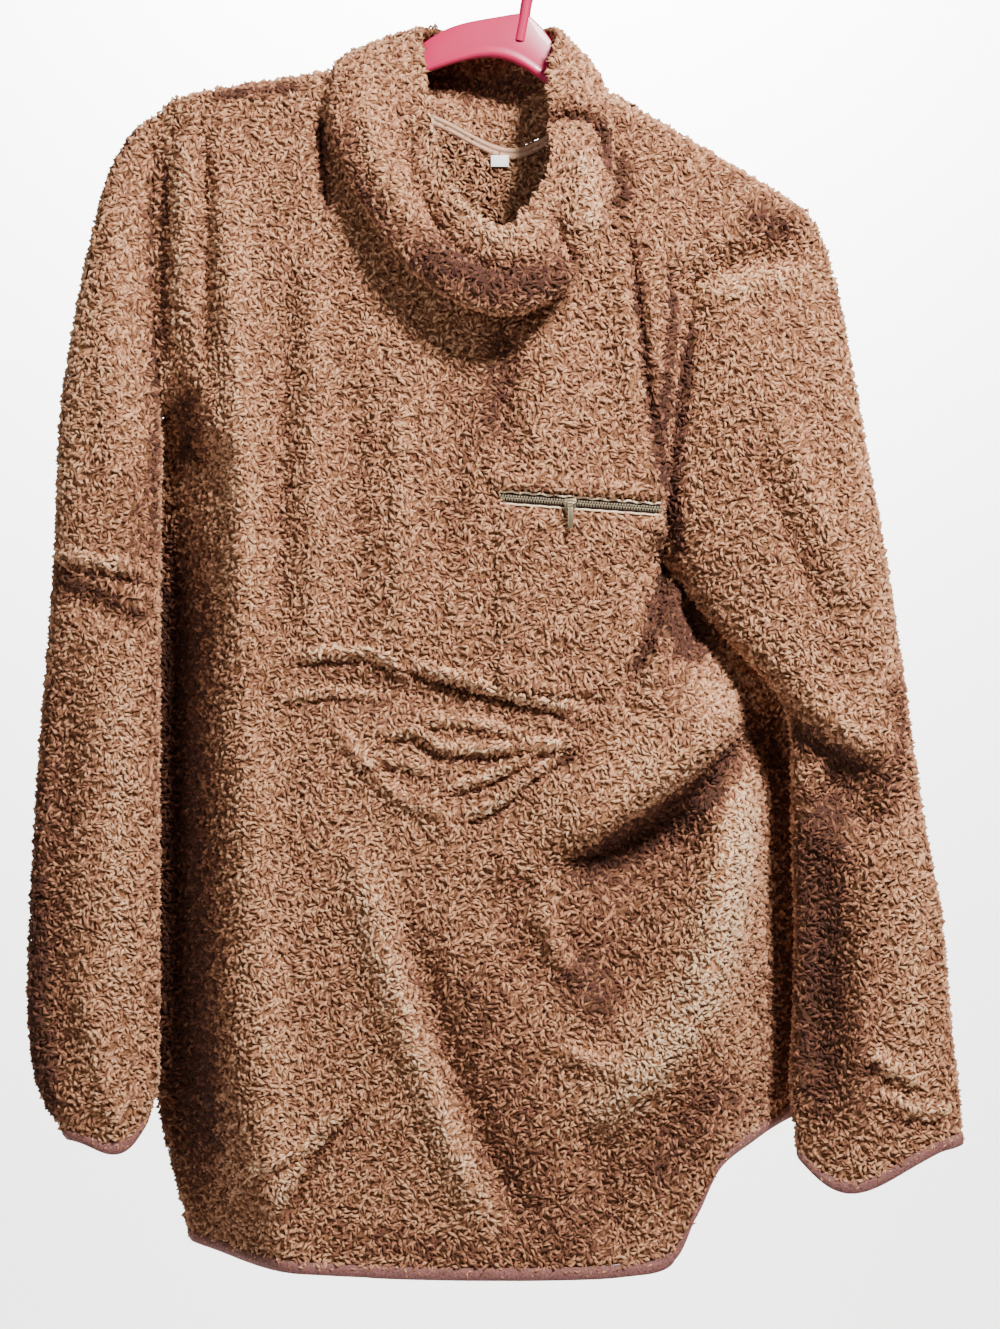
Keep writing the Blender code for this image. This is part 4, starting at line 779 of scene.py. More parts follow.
def plush_curls():
    """Polyester plush: the curls of the pile, pale at their backs and darker at their roots, which is
    painted shade; their backs take the painted light and shade of the surface and a tone that differs at
    random.
    """
    material, tree, shader = new_material("plush_curls")
    shade = add(tree, "ShaderNodeAttribute", attribute_name="shade").outputs["Fac"]
    height = add(tree, "ShaderNodeAttribute", attribute_name="height").outputs["Fac"]
    backs = ramp(tree, shade, (
        (0.0, CURL_PAINTED_SHADOW), (0.2, CURL_DEEP), (0.45, CURL_MIDDLE), (0.75, CURL_LIGHT), (1.0, CURL_PAINTED_HIGHLIGHT),
    ))
    mix = add(tree, "ShaderNodeMix", {"Factor": height}, data_type="RGBA")
    mix.inputs[6].default_value = (*linear(CURL_ROOT_SHADE), 1.0)
    tree.links.new(backs, mix.inputs[7])
    tree.links.new(mix.outputs[2], shader.inputs["Base Color"])
    shader.inputs["Roughness"].default_value = 0.8
    shader.inputs["Specular IOR Level"].default_value = 0.2
    shader.inputs["Sheen Weight"].default_value = 0.08
    shader.inputs["Sheen Roughness"].default_value = 0.5
    shader.inputs["Sheen Tint"].default_value = (*linear("f2cfae"), 1.0)
    return material


def knit_binding():
    """Polyester knitted binding: fine ribs across a matt brown-pink band."""
    material, tree, shader = new_material("knit_binding")
    place = add(tree, "ShaderNodeTexCoord").outputs["Object"]
    ribs = add(tree, "ShaderNodeTexNoise", {"Vector": place, "Scale": 900.0, "Detail": 2.0}).outputs["Fac"]
    colour = ramp(tree, ribs, ((0.3, "4a2a27"), (0.7, "84524a")))
    bump = add(tree, "ShaderNodeBump", {"Height": ribs, "Strength": 0.5, "Distance": 0.4 * MM})
    tree.links.new(colour, shader.inputs["Base Color"])
    tree.links.new(bump.outputs["Normal"], shader.inputs["Normal"])
    shader.inputs["Roughness"].default_value = 0.85
    return material


def plain_material(name, code, roughness, metallic=0.0, coat=0.0):
    """A material of one even colour."""
    material, _, shader = new_material(name)
    shader.inputs["Base Color"].default_value = (*linear(code), 1.0)
    shader.inputs["Roughness"].default_value = roughness
    shader.inputs["Metallic"].default_value = metallic
    shader.inputs["Coat Weight"].default_value = coat
    return material


def new_mesh(name, points, faces, edges=()):
    """A mesh from an array of points in metres."""
    mesh = bpy.data.meshes.new(name)
    mesh.from_pydata(np.asarray(points).reshape(-1, 3).tolist(), edges, faces)
    return mesh


def closed_mesh(name, points, faces, sharp=None):
    """A smooth mesh with its faces outwards; edges turned by more than sharp degrees stay sharp."""
    mesh = new_mesh(name, points, faces)
    builder = bmesh.new()
    builder.from_mesh(mesh)
    if builder.calc_volume(signed=True) < 0:
        bmesh.ops.reverse_faces(builder, faces=builder.faces)
    builder.to_mesh(mesh)
    builder.free()
    mesh.shade_smooth()
    if sharp:
        mesh.set_sharp_from_angle(angle=math.radians(sharp))
    return mesh


def new_object(name, data):
    """An object of the scene that holds this data."""
    made = bpy.data.objects.new(name, data)
    bpy.context.scene.collection.objects.link(made)
    return made


def place_mesh(name, mesh, material, body="garment"):
    """A mesh as a piece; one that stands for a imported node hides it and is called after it."""
    mesh.materials.clear()
    mesh.materials.append(material)
    stands_in = name in bpy.data.objects
    made = new_object(f"{name}_look" if stands_in else name, mesh)
    if stands_in:
        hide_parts(name)
    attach(made, body)
    return made


def grid_faces(columns, rows, wrap, first=0):
    """The quads between the points of a grid, as an array of point numbers."""
    i = np.arange(columns if wrap else columns - 1)[:, None]
    j = np.arange(rows - 1)[None, :]
    beside = (i + 1) % columns
    quads = np.stack([i * rows + j, beside * rows + j, beside * rows + j + 1, i * rows + j + 1], axis=-1)
    return quads.reshape(-1, 4) + first


def set_points(mesh, attribute, values):
    """Stores a number for each point of a mesh."""
    layer = mesh.attributes.new(attribute, "FLOAT", "POINT")
    layer.data.foreach_set("value", np.ravel(values).astype(np.float32))


def shell(name, outer, inner, wrap, material, slot="plush_fleece", tone=None):
    """A wall between two grids of points, closed at its free edges; tone is the painted light and shade of
    its front.
    """
    columns, rows = outer.shape[:2]
    inside = columns * rows
    points = np.concatenate([outer.reshape(-1, 3), inner.reshape(-1, 3)])
    faces = grid_faces(columns, rows, wrap).tolist()
    faces += grid_faces(columns, rows, wrap, inside)[:, ::-1].tolist()
    for j, turn in ((0, -1), (rows - 1, 1)):
        for i in range(columns if wrap else columns - 1):
            a, b = i * rows + j, (i + 1) % columns * rows + j
            faces.append((a, b, inside + b, inside + a)[::turn])
    if not wrap:
        for i, turn in ((0, 1), (columns - 1, -1)):
            for j in range(rows - 1):
                a = i * rows + j
                faces.append((a, a + 1, inside + a + 1, inside + a)[::turn])
    wall = place_mesh(name, closed_mesh(name, world(points), faces), material)
    if tone is not None:
        set_points(wall.data, "tone", np.concatenate([np.ravel(tone), np.full(inside, TONE_MIDDLE)]))
    return wall


def arm_fractions():
    """Where the rows of an armhole stand along it, from the shoulder's tip to the underarm."""
    return crowded_ends(ARM_ROWS, ARM_CROWDING)


def seam_normals(tip, underarm, face):
    """Which way the cloth faces along an armhole, from the shoulder tip to the underarm."""
    fractions = arm_fractions()
    rise = ease(fractions / TIP_TURN)[:, None]
    fall = ease((fractions - UNDERARM_TURN) / (1.0 - UNDERARM_TURN))[:, None]
    flat = np.array([0.0, 0.0, face])
    return unit((1 - rise) * np.array(tip) + rise * (1 - fall) * flat + fall * np.array(underarm))


def panel_flat(neck, hem, armholes, neck_columns):
    """A panel's grid of (x, drop), stretched between its borders, and its two side borders."""
    shoulder = crowded_ends(SHOULDER_COLUMNS, SHOULDER_CROWDING)
    left, right = smooth_path(LEFT_SHOULDER, shoulder), smooth_path(RIGHT_SHOULDER, shoulder)
    top = np.vstack([left[:-1], smooth_path(neck, neck_fractions(neck, neck_columns)), right[1:]])
    spread = (top[:, 0] - top[0, 0]) / (top[-1, 0] - top[0, 0])
    spread = (1.0 - EVEN_SHARE) * spread + EVEN_SHARE * np.linspace(0.0, 1.0, len(spread))
    bottom = smooth_path(hem, spread)
    arm = arm_fractions()
    side = np.linspace(0.0, 1.0, SIDE_ROWS + 1) ** SIDE_CROWDING
    edges = [
        np.vstack([smooth_path(armhole, arm), smooth_path(seam, side)[1:]])
        for armhole, seam in zip(armholes, (LEFT_SIDE, RIGHT_SIDE))
    ]
    turn = np.linspace(*UNDERARM_PLACE, len(top))[:, None]
    share = np.hstack([turn * arm[None, :], turn + (1 - turn) * side[None, 1:]])[..., None]
    share = np.concatenate([share ** FAN_OUT, share], axis=2)
    flat = top[:, None, :] * (1 - share) + bottom[:, None, :] * share
    across = lengths_along(top)
    shifts = []
    for column, away, edge, reach in zip((0, -1), (across, across[-1] - across), edges, EDGE_REACH):
        pull = np.clip(1 - (away - EDGE_HOLD) / reach, 0, 1)[:, None, None]
        shifts.append(pull * (edge - flat[column])[None])
    flat = relaxed(flat + shifts[0] + shifts[1], RELAX_PASSES)
    margin = LEAST_STEP * np.arange(len(top))[:, None]
    most = np.interp(flat[..., 1], edges[1][:, 1], edges[1][:, 0]) - margin[::-1]
    flat[:, 1:-1, 0] = np.minimum(flat[..., 0], most)[:, 1:-1]
    return flat, edges


def panel_depth(y, face, away, edges, ease_width):
    """A panel's depth y brought in to its armholes and side seams, and the depth of the last seam."""
    arm = arm_fractions()
    closing = np.sqrt(1 - np.clip((arm - ARM_CLOSING) / (1.0 - ARM_CLOSING), 0, 1) ** 2)
    for column, off, edge in zip((0, -1), away, edges):
        along = lengths_along(edge)
        past = np.maximum(along - along[ARM_ROWS], 0.0)
        edge_y = UNDERARM_DEPTH + (SIDE_DEPTH - UNDERARM_DEPTH) * ease(past / SEAM_TURN)
        at_arm = y[column, :ARM_ROWS + 1] * ARMHOLE_DEPTH
        edge_y[:ARM_ROWS + 1] = UNDERARM_DEPTH * (1 - closing) + at_arm * closing
        rounding = SEAM_ROUND * ease(past / SEAM_TURN)[None, :]
        curl = face * rounding * quarter_round(off / np.maximum(rounding, 0.01))
        level = edge_y[None, :] + face * rounding
        width = ARM_EASE + (ease_width - ARM_EASE) * ease(past / ARM_EASE)[None, :]
        y = edge_y[None, :] + curl + (y - level) * ease(off / width)
    return y, edge_y


Panel = namedtuple("Panel", "outer inner normals raised columns_at_neck")


def panel(face, neck, hem, armholes, neck_columns, fall, ease_width, folds):
    """A body panel: its outer and inner grids of (x, drop, y), face -1 for the front, 1 for the back."""
    flat, edges = panel_flat(neck, hem, armholes, neck_columns)
    x, drop = flat[..., 0], flat[..., 1]
    below = np.maximum(drop - soft_table(x, SHOULDER_LINE, LINE_BLUR), 0.0)
    below[:SHOULDER_COLUMNS + 1, 0] = 0.0
    below[-SHOULDER_COLUMNS - 1:, 0] = 0.0
    stand = SHOULDER_ROUND * quarter_round(below / SHOULDER_ROUND) + soft_table(below, fall, FALL_BLUR)
    steps = np.linalg.norm(np.diff(flat, axis=0), axis=2)
    from_left = np.vstack([np.zeros(steps.shape[1]), np.cumsum(steps, axis=0)])
    away = (from_left, from_left[-1] - from_left)
    y, seam_y = panel_depth(face * stand, face, away, edges, ease_width)
    quiet = ease(away[0] / QUIET_EDGE) * ease(away[1] / QUIET_EDGE) * ease(below / QUIET_TOP)
    raised = quiet * relief(x, drop, folds)
    gap = face * SEAM_GAP / 2
    outer = np.stack([x, drop, y + face * raised + gap], axis=-1)
    normals = grid_normals(outer, False)
    if np.sum(normals[..., 2]) * face < 0:
        normals = -normals
    normals = soften(normals, False, NORMAL_PASSES)
    set_edge_normals(normals, outer, face, neck_columns, away)
    inner = outer - WALL * normals
    floor = UNDERARM_DEPTH * ease((arm_fractions() - ARM_FLOOR) / (1.0 - ARM_FLOOR))
    middle = np.concatenate([floor, seam_y[ARM_ROWS + 1:]])
    limit = middle[None, :] + gap + face * LINING_RISE * np.clip(np.minimum(*away), 0, LINING_REACH)
    inner[..., 2] = np.minimum(inner[..., 2], limit) if face < 0 else np.maximum(inner[..., 2], limit)
    return Panel(outer, inner, normals, raised, (SHOULDER_COLUMNS, SHOULDER_COLUMNS + neck_columns))


def set_edge_normals(normals, outer, face, neck_columns, away):
    """Turns a panel's normals at its seams so that they match those of its neighbours."""
    first, last = SHOULDER_COLUMNS, SHOULDER_COLUMNS + neck_columns
    for column, off, out, tip, underarm in zip((0, -1), away, (-1, 1), TIP_FACING, UNDERARM_FACING):
        run = unit(np.gradient(outer[column][:, :2], axis=0))
        sideways = np.stack([out * run[:, 1], -out * run[:, 0], np.zeros(len(run))], axis=1)
        edge_normals = sideways.copy()
        edge_normals[:ARM_ROWS + 1] = seam_normals(tip, underarm, face)
        edge_normals[ARM_ROWS + 1] = unit(np.array(underarm) * UNDERARM_WEIGHT + sideways[ARM_ROWS + 1])
        near = 1.0 - ease(off / NORMAL_TURN)[..., None]
        near[:, :ARM_ROWS] *= (off[:, :ARM_ROWS] < 0.01)[..., None]
        normals[:] = unit(near * edge_normals[None] + (1 - near) * normals)
    up = off_the_panel(outer[:, 0])
    for stretch in (slice(1, first), slice(last + 1, -1)):
        normals[stretch, 0] = up[stretch]
    lean = np.sin(np.linspace(0, math.pi, last - first + 1)) ** CORNER_SHARPNESS
    corner = np.array([0.0, -1.0, 0.0])
    forward = np.array([0.0, 0.0, face])
    normals[first:last + 1, 0] = unit(lean[:, None] * forward + (1 - lean[:, None]) * corner)


def sleeve(name, rings, front, back, column, out):
    """A tube from the armhole of the two panels to the cuff; out is -1 on the left, 1 on the right."""
    arm = arm_fractions()
    profile = (1 - np.abs(2 * arm - 1) ** SLEEVE_ROUND) ** (1 / SLEEVE_ROUND)
    hole_front = front.outer[column, :ARM_ROWS + 1]
    hole_back = back.outer[column, :ARM_ROWS + 1]
    hole = np.vstack([hole_front, hole_back[-2:0:-1]])
    hole[0] = (hole_front[0] + hole_back[0]) / 2
    hole[ARM_ROWS] = (hole_front[-1] + hole_back[-1]) / 2
    hole_normals = np.vstack([
        front.normals[column, :ARM_ROWS + 1], back.normals[column, ARM_ROWS - 1:0:-1],
    ])
    rows = []
    for ring in rings:
        outer_edge, inner_edge = np.array(ring.outer, float), np.array(ring.inner, float)
        line = outer_edge + arm[:, None] * (inner_edge - outer_edge)
        bow = ring.bow * np.sin(math.pi * arm ** BOW_LEAN)
        halves = [
            np.column_stack([line[:, 0], line[:, 1] + share * bow, ring.middle + reach * profile])
            for reach, share in ((-ring.half, 1.0), (ring.half, BACK_BOW))
        ]
        rows.append(np.vstack([halves[0], halves[1][-2:0:-1]]))
    lead = hole - rows[0]
    for index, share in enumerate(HOLE_SHARES):
        rows[index] = rows[index] + share * lead
    rows[0] = rows[0] + SEAM_GAP * SLEEVE_OFF * np.array([out, SLEEVE_DROP, 0.0])
    outer, place = resample(np.stack(rows, axis=1), SLEEVE_ROWS)
    face = np.concatenate([profile, -profile[-2:0:-1]])
    quiet = np.clip(face, 0, 1)[:, None] * ease(place / SLEEVE_QUIET)[None, :]
    raised = quiet * relief(outer[..., 0], outer[..., 1], SLEEVE_FOLDS[name])
    outer[..., 2] -= raised
    normals = grid_normals(outer, True)
    if np.mean(normals[1:ARM_ROWS, :, 2]) > 0:
        normals = -normals
    normals = soften(normals, True, NORMAL_PASSES)
    near = (1.0 - ease(place / SLEEVE_TURN))[None, :, None]
    normals = unit(near * hole_normals[:, None] + (1.0 - near) * normals)
    return outer, outer - WALL * normals, normals, raised


def off_the_panel(edge):
    """The direction in the panel's plane that leads off its top edge."""
    run = unit(np.gradient(edge[:, :2], axis=0))
    return np.stack([run[:, 1], -run[:, 0], np.zeros(len(run))], axis=1)


def collar_ring(around, points):
    """A closed ring through one point of each of the collar's posts, at these places round it."""
    points = np.array(points, float)
    places = np.array([post.around for post in COLLAR])
    closed = np.vstack([points[-2:], points, points[:3]])
    at = np.concatenate([places[-2:] - 1, places, places[:3] + 1])
    shifts = np.linspace(-COLLAR_BLUR, COLLAR_BLUR, 5)
    rings = [
        np.column_stack([np.interp(around + shift, at, column) for column in closed.T])
        for shift in shifts
    ]
    return sum(rings) / len(rings)


def collar(front, back):
    """The funnel collar: its grids from the neck seam, over the belly, to the rim."""
    first, last = front.columns_at_neck
    back_first, back_last = back.columns_at_neck
    half = (back_last - back_first) // 2
    seam_front = front.outer[first:last + 1, 0]
    seam_back = back.outer[back_first:back_last + 1, 0]

    def round_the_neck(at_front, at_back):
        return np.vstack([at_back[half::-1], at_front[1:-1], at_back[:half:-1]])

    seam = round_the_neck(seam_front, seam_back)
    corner_normals = np.vstack([
        back.normals[back_first + half:back_first:-1, 0], front.normals[first:last, 0],
        back.normals[back_last:back_first + half:-1, 0],
    ])
    left_end, right_end = NECK_CORNERS
    around = np.concatenate([
        np.linspace(0, left_end, half + 1)[:-1],
        np.linspace(left_end, right_end, last - first + 1)[:-1],
        np.linspace(right_end, 1, len(seam) - half - (last - first) + 1)[:-1],
    ])
    belly = collar_ring(around, [post.belly for post in COLLAR])
    rim = collar_ring(around, [post.rim for post in COLLAR])
    away = round_the_neck(off_the_panel(seam_front), off_the_panel(seam_back))
    start = seam + SEAM_GAP * COLLAR_OFF * away
    steps = np.linspace(0.0, 1.0, COLLAR_ROWS + 1)
    rows = [
        start * (1 - t) * (1 - 2 * t) + belly * 4 * t * (1 - t) + rim * t * (2 * t - 1)
        for t in steps
    ]
    outer = np.stack(rows, axis=1)
    normals = grid_normals(outer, True)
    outward = outer[:, COLLAR_ROWS // 2] - seam.mean(axis=0)
    if np.sum(normals[:, COLLAR_ROWS // 2] * outward) < 0:
        normals = -normals
    normals = soften(normals, True, NORMAL_PASSES)
    turned = ease(steps / COLLAR_TURN)
    near = (1.0 - turned)[None, :, None]
    normals = unit(near * corner_normals[:, None] + (1.0 - near) * normals)
    front_facing = np.clip(-normals[..., 2] * 2.0, 0.0, 1.0) * ease(steps / COLLAR_QUIET)[None, :]
    raised = front_facing * relief(outer[..., 0], outer[..., 1], COLLAR_FOLDS)
    outer = outer + raised[..., None] * normals
    thick = SEAM_WALL + (COLLAR_WALL - SEAM_WALL) * turned
    return outer, outer - thick[None, :, None] * normals, normals, raised


def binding(name, outer, inner, wrap, material):
    """A narrow band that goes on below the free edge of a wall."""
    run = unit(unit(outer[:, -1] - outer[:, -2]) + unit(inner[:, -1] - inner[:, -2]))
    across = unit(outer[:, -1] - inner[:, -1])
    sides = [
        np.stack([
            grid[:, -1] + down * run + side * swell * across for down, swell in BINDING_SECTION
        ], axis=1)
        for grid, side in ((outer, 1), (inner, -1))
    ]
    return shell(name, *sides, wrap, material, "knit_binding")


def curl_collection():
    """The few shapes of curl that are scattered over the plush, kept out of the picture."""
    shapes = bpy.data.collections.new("curl_shapes")
    half, side = CURL_LENGTH / 2, CURL_WIDTH / 2
    for index, form in enumerate(CURL_FORMS):
        bend, top = form.bend * CURL_WIDTH, form.height * CURL_HEIGHT
        lean = form.lean * CURL_LENGTH
        points = np.array([
            (-half, 0.0, 0.1), (half, 0.15 * bend, 0.1),
            (lean, bend - side, 0.35 * top), (lean, bend + side, 0.35 * top), (lean, bend, top),
        ])
        mesh = new_mesh(f"curl_{index}", points * MM, [(0, 2, 4), (0, 4, 3), (1, 4, 2), (1, 3, 4)])
        mesh.shade_smooth()
        set_points(mesh, "height", CURL_POINT_HEIGHTS)
        shapes.objects.link(bpy.data.objects.new(f"curl_{index}", mesh))
    return shapes


def geometry_tree(name, inputs, output):
    """A tree of geometry nodes with these inputs, (name, kind), and one output; and its inputs' sockets."""
    tree = bpy.data.node_groups.new(name, "GeometryNodeTree")
    for label, kind in inputs:
        tree.interface.new_socket(label, in_out="INPUT", socket_type=f"NodeSocket{kind}")
    tree.interface.new_socket(output, in_out="OUTPUT", socket_type="NodeSocketGeometry")
    return tree, add(tree, "NodeGroupInput").outputs


def give_out(tree, instances, material, output):
    """Ends a tree of geometry nodes: its instances made real, in this material."""
    real = add(tree, "GeometryNodeRealizeInstances", {"Geometry": instances})
    finished = add(tree, "GeometryNodeSetMaterial", {"Geometry": real.outputs[0], "Material": material})
    add(tree, "NodeGroupOutput", {output: finished.outputs[0]})


def grown(mesh, tree, inputs):
    """The mesh that a tree of geometry nodes makes of this one, with its inputs set by their names."""
    bed = new_object(f"{mesh.name}_bed", mesh)
    grower = bed.modifiers.new("grower", "NODES")
    grower.node_group = tree
    for item in tree.interface.items_tree:
        if item.name in inputs:
            grower[item.identifier] = inputs[item.name]
    graph = bpy.context.evaluated_depsgraph_get()
    made = bpy.data.meshes.new_from_object(bed.evaluated_get(graph), depsgraph=graph)
    bpy.data.objects.remove(bed, do_unlink=True)
    return made


def pile_nodes(shapes, material):
    """Geometry nodes that scatter curls over a surface and give only the curls."""
    tree, given = geometry_tree(
        "pile", (("Surface", "Geometry"), ("Curls per square metre", "Float"), ("Seed", "Int")), "Curls",
    )
    stored, stray = {}, {}
    for name in ("cover", "tone"):
        node = add(tree, "GeometryNodeInputNamedAttribute", {"Name": name}, data_type="FLOAT")
        stored[name] = node.outputs["Attribute"]
    for name, low, high, seed in CURL_STRAY:
        limits = {2: low, 3: high, "Seed": seed}
        stray[name] = add(tree, "FunctionNodeRandomValue", limits, data_type="FLOAT").outputs[1]
    density = add(tree, "ShaderNodeMath", {
        0: given["Curls per square metre"], 1: stored["cover"],
    }, operation="MULTIPLY")
    spread = add(tree, "GeometryNodeDistributePointsOnFaces", {
        "Mesh": given["Surface"], "Density": density.outputs[0], "Seed": given["Seed"],
    }, distribute_method="RANDOM")
    place = add(tree, "GeometryNodeInputPosition").outputs[0]
    lay = add(tree, "ShaderNodeTexNoise", {"Vector": place, "Scale": CURL_CLUMP, "Detail": 1.0})
    turn = add(tree, "ShaderNodeMath", {0: lay.outputs["Fac"], 1: CURL_TURN}, operation="MULTIPLY")
    angle = add(tree, "ShaderNodeMath", {0: turn.outputs[0], 1: stray["turn"]}, operation="ADD")
    spin = add(tree, "ShaderNodeCombineXYZ", {"Y": stray["lift"], "Z": angle.outputs[0]})
    euler = add(tree, "FunctionNodeEulerToRotation", {0: spin.outputs[0]})
    facing = add(tree, "FunctionNodeRotateRotation", {
        0: spread.outputs["Rotation"], 1: euler.outputs[0],
    }, rotation_space="LOCAL")
    choice = add(tree, "FunctionNodeRandomValue", {
        4: 0, 5: len(CURL_FORMS) - 1, "Seed": CURL_CHOICE_SEED,
    }, data_type="INT")
    source = add(tree, "GeometryNodeCollectionInfo", {
        "Collection": shapes, "Separate Children": True, "Reset Children": True,
    })
    curls = add(tree, "GeometryNodeInstanceOnPoints", {
        "Points": spread.outputs["Points"], "Instance": source.outputs[0], "Pick Instance": True,
        "Instance Index": choice.outputs[2], "Rotation": facing.outputs[0], "Scale": stray["size"],
    })
    # a curl's shade: the surface's painted light and shade plus a tone that differs at random
    shade = add(tree, "ShaderNodeMath", {0: stored["tone"], 1: stray["tone"]}, operation="ADD")
    shaded = add(tree, "GeometryNodeStoreNamedAttribute", {
        "Geometry": curls.outputs[0], "Name": "shade", "Value": shade.outputs[0],
    }, data_type="FLOAT", domain="INSTANCE")
    give_out(tree, shaded.outputs[0], material, "Curls")
    return tree


def overhung(surface, cover, tone):
    """A surface, its cover and its tone with one more row, over the upper edge of a binding."""
    last = surface[:, -1:] + PILE_OVERHANG * unit(surface[:, -1:] - surface[:, -2:-1])
    grown = [np.concatenate([table, table[:, -1:]], axis=1) for table in (cover, tone)]
    return np.concatenate([surface, last], axis=1), *grown


def pile_on(name, surface, wrap, cover, tone, materials, share=1.0, turned=False):
    """Curls over a grid of table points; cover says how thickly they grow, and tone how pale they are
    there, as painted light and shade.
    """
    columns, rows = surface.shape[:2]
    faces = grid_faces(columns, rows, wrap)
    spots = world(surface)
    reach = (spots - spots.mean(axis=(0, 1)))[:-1, :-1]
    across, along = spots[1:, :-1] - spots[:-1, :-1], spots[:-1, 1:] - spots[:-1, :-1]
    if (np.sum(np.cross(across, along) * reach) < 0) != turned:
        faces = faces[:, ::-1]
    mesh = new_mesh(name, spots, faces.tolist())
    for attribute, values in (("cover", cover), ("tone", tone)):
        set_points(mesh, attribute, values * np.ones((columns, rows)))
    curls = grown(mesh, materials["pile_nodes"], {
        "Curls per square metre": CURLS_PER_M2 * share, "Seed": CURL_SEED,
    })
    curls.name = name
    return place_mesh(name, curls, materials["curls"])


def box_mesh(name, low, high, bevel):
    """A box between two corners in metres, its edges rounded by bevel millimetres."""
    low, high = np.array(low), np.array(high)
    builder = bmesh.new()
    bmesh.ops.create_cube(builder, size=1.0)
    for vert in builder.verts:
        vert.co = Vector((low + high) / 2 + np.array(vert.co) * (high - low))
    bmesh.ops.bevel(builder, geom=builder.edges, offset=bevel * MM, segments=2, profile=0.6,
                    affect="EDGES")
    mesh = bpy.data.meshes.new(name)
    builder.to_mesh(mesh)
    builder.free()
    mesh.shade_smooth()
    mesh.set_sharp_from_angle(angle=math.radians(35))
    return mesh


def joined(name, meshes):
    """Several meshes as one."""
    builder = bmesh.new()
    for mesh in meshes:
        builder.from_mesh(mesh)
    whole = bpy.data.meshes.new(name)
    builder.to_mesh(whole)
    builder.free()
    return whole


def tube(name, route, radius, sides):
    """A round rod along points in metres, closed at both ends."""
    route = np.array(route, float)
    runs = unit(np.gradient(route, axis=0))
    aside = unit(np.cross(runs, np.array([0.0, 1.0, 0.0])))
    up = np.cross(runs, aside)
    turns = np.linspace(0.0, 2 * math.pi, sides, endpoint=False)
    rings = [aside * math.cos(turn) + up * math.sin(turn) for turn in turns]
    points = np.stack([route + radius * ring for ring in rings], axis=0)
    count = len(route)
    faces = grid_faces(sides, count, True).tolist()
    faces.append(tuple(i * count for i in range(sides)))
    faces.append(tuple(i * count + count - 1 for i in reversed(range(sides))))
    return closed_mesh(name, points, faces, sharp=50)


def ring_faces(rings, around, closed):
    """The quads from each ring of points to the next, and from the last to the first if it is closed."""
    faces = []
    for i in range(rings if closed else rings - 1):
        here, ahead = i * around, (i + 1) % rings * around
        for k in range(around):
            n = (k + 1) % around
            faces.append((here + k, ahead + k, ahead + n, here + n))
    return faces


def panel_tree(grid):
    """A search tree over a grid of points, for laying a piece on it."""
    faces = grid_faces(*grid.shape[:2], False).tolist()
    return BVHTree.FromPolygons([Vector(point) for point in grid.reshape(-1, 3)], faces)


def surface_y(tree, x, drop, reach):
    """The foremost depth of a grid round one point, seen from the front."""
    found = []
    for side, down in ((0, 0), (reach, 0), (-reach, 0), (0, reach), (0, -reach)):
        hit = tree.ray_cast(Vector((x + side, drop + down, -400.0)), Vector((0, 0, 1)))[0]
        if hit is not None:
            found.append(hit.z)
    return min(found)


def patch(tree, top, bottom, rows, wall):
    """The grids of a flat piece laid on a panel between two edges, its front and its back."""
    top, bottom = np.array(top, float), np.array(bottom, float)
    columns = PATCH_COLUMNS
    outer = np.zeros((columns + 1, rows + 1, 3))
    for i in range(columns + 1):
        for j in range(rows + 1):
            u, v = i / columns, j / rows
            upper = top[0] * (1 - u) + top[1] * u
            lower = bottom[0] * (1 - u) + bottom[1] * u
            x, drop = upper * (1 - v) + lower * v
            outer[i, j] = (x, drop, surface_y(tree, x, drop, PATCH_REACH) - PATCH_STAND)
    inner = outer.copy()
    u = np.linspace(0, 1, columns + 1)[:, None]
    v = np.linspace(0, 1, rows + 1)[None, :]
    rise = quarter_round(np.minimum(u, 1 - u) * columns / PATCH_ROUND)
    rise = rise * quarter_round(np.minimum(v, 1 - v) * rows / PATCH_ROUND)
    outer[..., 2] -= wall * (PATCH_EDGE + (1.0 - PATCH_EDGE) * rise)
    return outer, inner


def pocket(tree, materials):
    """The chest pocket with its curls, the welt above it and the zip between them."""
    for name, pile, top, bottom, rows, wall, share in (
        ("chest_pocket", "pocket_pile", POCKET_TOP, POCKET_BOTTOM, 44, POCKET_WALL, 1.0),
        ("pocket_welt", "welt_pile", WELT_TOP, WELT_BOTTOM, 6, WELT_WALL, 1.2),
    ):
        outer, inner = patch(tree, top, bottom, rows, wall - PILE_DEPTH)
        tone = painted_tone_of(outer, 0.0, (), FRONT_PAINTED_SHADING)
        shell(name, outer, inner, False, materials["ground"], tone=tone)
        pile_on(pile, outer, False, 1.0, tone, materials, share)
    outer, inner = patch(tree, ZIP_TOP, ZIP_BOTTOM, 2, ZIP_TAPE)
    shell("zip_tapes", outer, inner, False, materials["tape"], "zip_tape")
    for name, row, stray in LIP_STRAY:
        line = outer[:, row] + np.array([0.0, 0.0, -LIP_RADIUS])
        line[:, 1] += stray * np.sin(np.arange(len(line)) * LIP_WAVE)
        place_mesh(name, tube(name, world(line), LIP_RADIUS * MM, 8), materials["lip"])
    return outer


